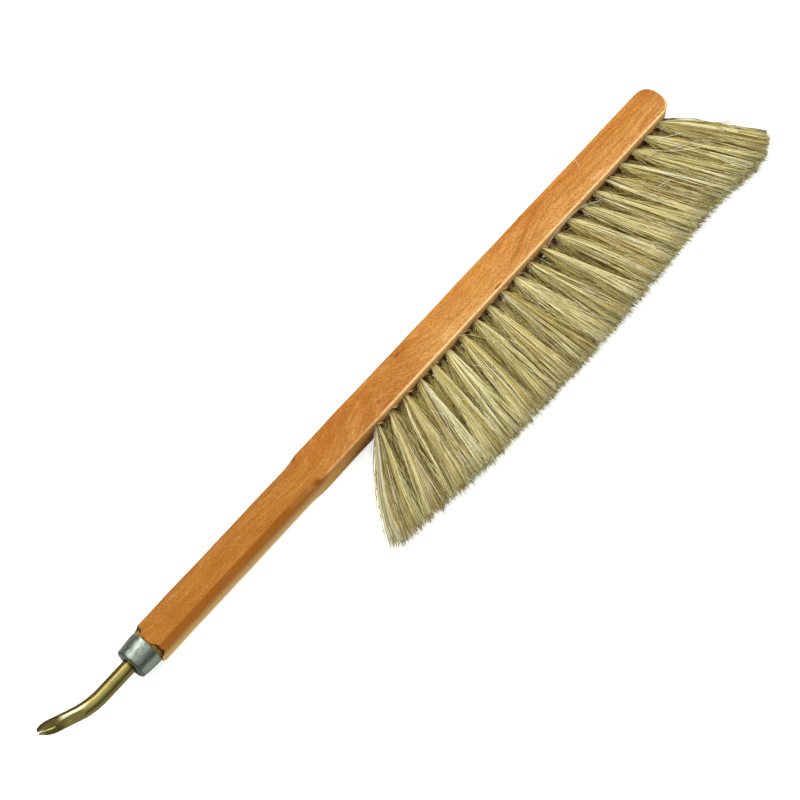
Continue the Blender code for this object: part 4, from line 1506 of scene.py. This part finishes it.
def hook_blank():
    bm = bmesh.new()
    rings = []
    up = Vector((0, 0, 1))
    for s in hook_stations():
        centre, heading = hook_axis(s)
        side = Vector((math.sin(heading), math.cos(heading), 0))
        flat_out = up * math.cos(FLAT_TURN) - side * math.sin(FLAT_TURN)
        flat_side = side * math.cos(FLAT_TURN) + up * math.sin(FLAT_TURN)
        ring = []
        for sideways, out in hook_section(s):
            p = centre + flat_side * sideways + flat_out * out
            ring.append(bm.verts.new(((RIM_X + p.x) * MM, p.y * MM, (AXIS_Z + p.z) * MM)))
        rings.append(ring)
    join_rings(bm, rings)
    bm.faces.new(rings[0][::-1])
    bm.faces.new(rings[-1])
    outward(bm)
    return object_from(bm, "bar", (ZINC,))


def slope_cutter(claw_frame):
    """A long wedge that slopes the claw's hair-side point inside the notch."""
    bm = bmesh.new()
    rings = []
    for x, inner, outer, low in SLOPE:
        wedge = ((inner - 0.30, low), (outer, 0.6), (inner - 0.30, 0.6))
        rings.append([bm.verts.new((x * MM, y * MM, z * MM)) for y, z in wedge])
    bm.faces.new(rings[0])
    bm.faces.new(rings[-1][::-1])
    join_rings(bm, rings)
    outward(bm)
    bm.transform(claw_frame)
    return object_from(bm, "slope", (GROUND,))


def build_hook():
    """One bar: tang, shank, bend, and a forged claw with a V notch."""
    bar = hook_blank()
    tip, heading = hook_axis(HOOK_END)
    claw_frame = (
        Matrix.Translation(((RIM_X + tip.x) * MM, tip.y * MM, (AXIS_Z + tip.z) * MM))
        @ Matrix.Rotation(math.pi - heading, 4, "Z")
        @ Matrix.Rotation(-FLAT_TURN, 4, "X")
    )
    notch = prism("notch", NOTCH, 16.0, claw_frame)
    notch.data.materials.append(ZINC)
    cut(bar, notch)
    slope = slope_cutter(claw_frame)
    cut(bar, slope)
    bm, materials = carved(bar, (notch, slope))
    return object_from(bm, "hook_bar", materials, sharp_above=32.0)


hand_over(build_hook(), "claw_hook")


# ------------------------------------------------------ torn fibres at holes
def add_sliver(bm, rng, mouth, way, rim, size):
    """One curled sliver on a hole's rim of radius rim."""
    angle = math.radians(rng.normal(20, 24))     # round the rim, from +Z toward +X
    radial = np.array([math.sin(angle), 0, math.cos(angle)])
    tangent = np.array([math.cos(angle), 0, -math.sin(angle)])
    base = np.array([mouth[0], -HALF, mouth[2]]) + radial * rim
    length = rng.uniform(2.2, 4.8) * size
    width = rng.uniform(0.50, 1.05) * size
    curl = rng.uniform(-0.1, 0.9)
    side = rng.uniform(-0.5, 0.5)
    lean = np.array([rng.uniform(0.35, 0.95), -rng.uniform(0.5, 0.9), rng.uniform(0.20, 0.80)])
    steps = 6
    thick = radial * 0.07
    rings = []
    for i in range(steps):
        t = i / (steps - 1)
        p = base - way * 0.25 + lean * length * t * (1 - 0.25 * t)
        p = p + tangent * side * length * 0.5 * t * t
        p = p + radial * curl * 0.45 * length * math.sin(t * 2.4) * t
        half = tangent * (width * (1 - 0.9 * t ** 1.6) / 2)
        corners = (p - half - thick, p + half - thick, p + half + thick, p - half + thick)
        rings.append([bm.verts.new(corner * MM) for corner in corners])
    material = int(rng.choice([0, 0, 1, 1, 2]))
    faces = [bm.faces.new(rings[0][::-1]), bm.faces.new(rings[-1])]
    for face in faces + join_rings(bm, rings):
        face.material_index = material


def build_slivers():
    """Slivers of wood lifted at the holes' rims, mostly in the upper row."""
    rng = np.random.default_rng(77)
    bm = bmesh.new()
    for row, fewest, rim in (("upper", 3, 2.7), ("lower", 1, 2.30)):
        for index in range(TUFTS):
            mouth, way = tuft_axis(row, index)
            for _ in range(fewest + int(rng.integers(0, 2))):
                add_sliver(bm, rng, mouth, way, rim, size=1.0 if index < 14 else 0.7)
    outward(bm)
    return object_from(bm, "torn_fibres", TORN, sharp_above=40.0)


hand_over(build_slivers())


# ---------------------------------------------------------------------- stage
def floor_material():
    """Pale floor that glows to the camera and looks dark to polished metal."""
    mat = Material("pale_floor", (0.95, 0.95, 0.95))
    path = mat.new("ShaderNodeLightPath")
    glow = mat.new("ShaderNodeEmission")
    mat.feed(glow.inputs["Color"], (0.955, 1.0, 0.965))
    mat.feed(glow.inputs["Strength"], mat.out(path, "Is Camera Ray") * 0.64)
    cloud = mat.noise((0.02, 0.02, 0.02), detail=2.0)
    pale = mat.mix(cloud, (0.90, 0.90, 0.90), (0.91, 0.91, 0.91))
    base = pale.toward((0.26, 0.26, 0.24), mat.out(path, "Is Glossy Ray"))
    mat.finish(Base_Color=base, Roughness=0.9, Specular_IOR_Level=0.1)
    both = mat.new("ShaderNodeAddShader")
    output = next(node for node in mat.tree.nodes if node.type == "OUTPUT_MATERIAL")
    mat.feed(both.inputs[0], mat.out(mat.bsdf, 0))
    mat.feed(both.inputs[1], mat.out(glow, 0))
    mat.feed(output.inputs["Surface"], mat.out(both, 0))
    mat.material.cycles.emission_sampling = "NONE"
    return mat.material


def build_stage():
    bm = bmesh.new()
    bmesh.ops.create_grid(bm, x_segments=1, y_segments=1, size=12.0)    # metres
    floor = object_from(bm, "floor")
    floor.location.z = -0.0002
    floor.data.materials.append(floor_material())


build_stage()


# ---------------------------------------------------------------------- world
def band(value, rise, fall):
    return value.ease(*rise) * (1.0 - value.ease(*fall))


def studio_light(nodes, x, y, z):
    """What polished metal sees: a key strip along the brush on the +Y side, a
    dimmer ceiling, and a dark room low down on both sides."""
    # degrees from straight up toward +Y, seen along the brush
    tilt = nodes.math("ARCTAN2", y, z) * (180.0 / math.pi)
    ceiling = band(tilt, (-34, -14), (52, 62))
    key = band(tilt, (18, 26), (38, 48))
    # the strip dims over a short stretch, with a brighter lamp past it
    gap = band(x, (0.12, 0.17), (0.215, 0.245))
    key = key * (1.0 - gap * 0.6)
    lamp = band(tilt, (27, 33), (56, 63)) * x.ease(0.215, 0.245)
    lit = ceiling * 0.58 + key * 1.15 + lamp * 2.3
    ends = abs(x).ease(0.50, 0.74, to=(1.0, 0.0))
    dim = band(tilt, (-72, -34), (-30, -18))
    return (0.095 + dim * 0.24) + lit * ends


def build_world():
    """White to the camera, a soft even dome for wood and hair, and a plain
    studio for polished metal."""
    world = bpy.data.worlds.new("studio")
    SCENE.world = world
    world.use_nodes = True
    world.node_tree.nodes.clear()
    nodes = Nodes(world.node_tree, math_inputs=2)

    def background(strength, colour):
        node = nodes.new("ShaderNodeBackground")
        nodes.feed(node.inputs["Color"], colour)
        nodes.feed(node.inputs["Strength"], strength)
        return nodes.out(node, 0)

    def choose(ray, otherwise, seen):
        node = nodes.new("ShaderNodeMixShader")
        for socket, value in zip(node.inputs, (nodes.out(path, ray), otherwise, seen)):
            nodes.feed(socket, value)
        return nodes.out(node, 0)

    x, y, z = nodes.split(nodes.out(nodes.new("ShaderNodeTexCoord"), "Generated"))
    studio = background(studio_light(nodes, x, y, z), (1.0, 0.99, 0.95))
    dome = background(0.52 + z.at_least(0.0) * 0.16, (1.0, 1.0, 1.0))
    path = nodes.new("ShaderNodeLightPath")
    surroundings = choose("Is Glossy Ray", dome, studio)
    white = background(1.0, (1.0, 1.0, 1.0))
    shown = choose("Is Camera Ray", surroundings, white)
    nodes.feed(nodes.new("ShaderNodeOutputWorld").inputs[0], shown)


build_world()


# ----------------------------------------------------------- light and camera
def build_light():
    """One broad soft light from above and a little to +Y."""
    sun = bpy.data.lights.new("softbox", "SUN")
    sun.energy = 2.35
    sun.angle = math.radians(50)
    sun.color = (1.0, 0.99, 0.97)
    ob = link(bpy.data.objects.new("softbox", sun))
    toward_sun = Vector((-0.16, 0.40, 0.90))
    ob.rotation_euler = toward_sun.to_track_quat("Z", "Y").to_euler()
    ob.visible_glossy = False


CAMERA_PLACE = (-0.38057, -0.28985, 1.04758)    # metres
# degrees and axis, outermost turn first
CAMERA_TURNS = ((-51.755, "Z"), (23.639, "X"), (2.249, "Z"))


def build_camera():
    lens = bpy.data.cameras.new("camera")
    lens.lens = 96.72
    lens.sensor_width = 36.0
    lens.clip_start = 0.05
    lens.clip_end = 50.0
    camera = link(bpy.data.objects.new("camera", lens))
    first, second, third = (Matrix.Rotation(math.radians(a), 4, axis) for a, axis in CAMERA_TURNS)
    camera.matrix_world = Matrix.Translation(CAMERA_PLACE) @ (first @ second @ third)
    SCENE.camera = camera


build_light()
build_camera()
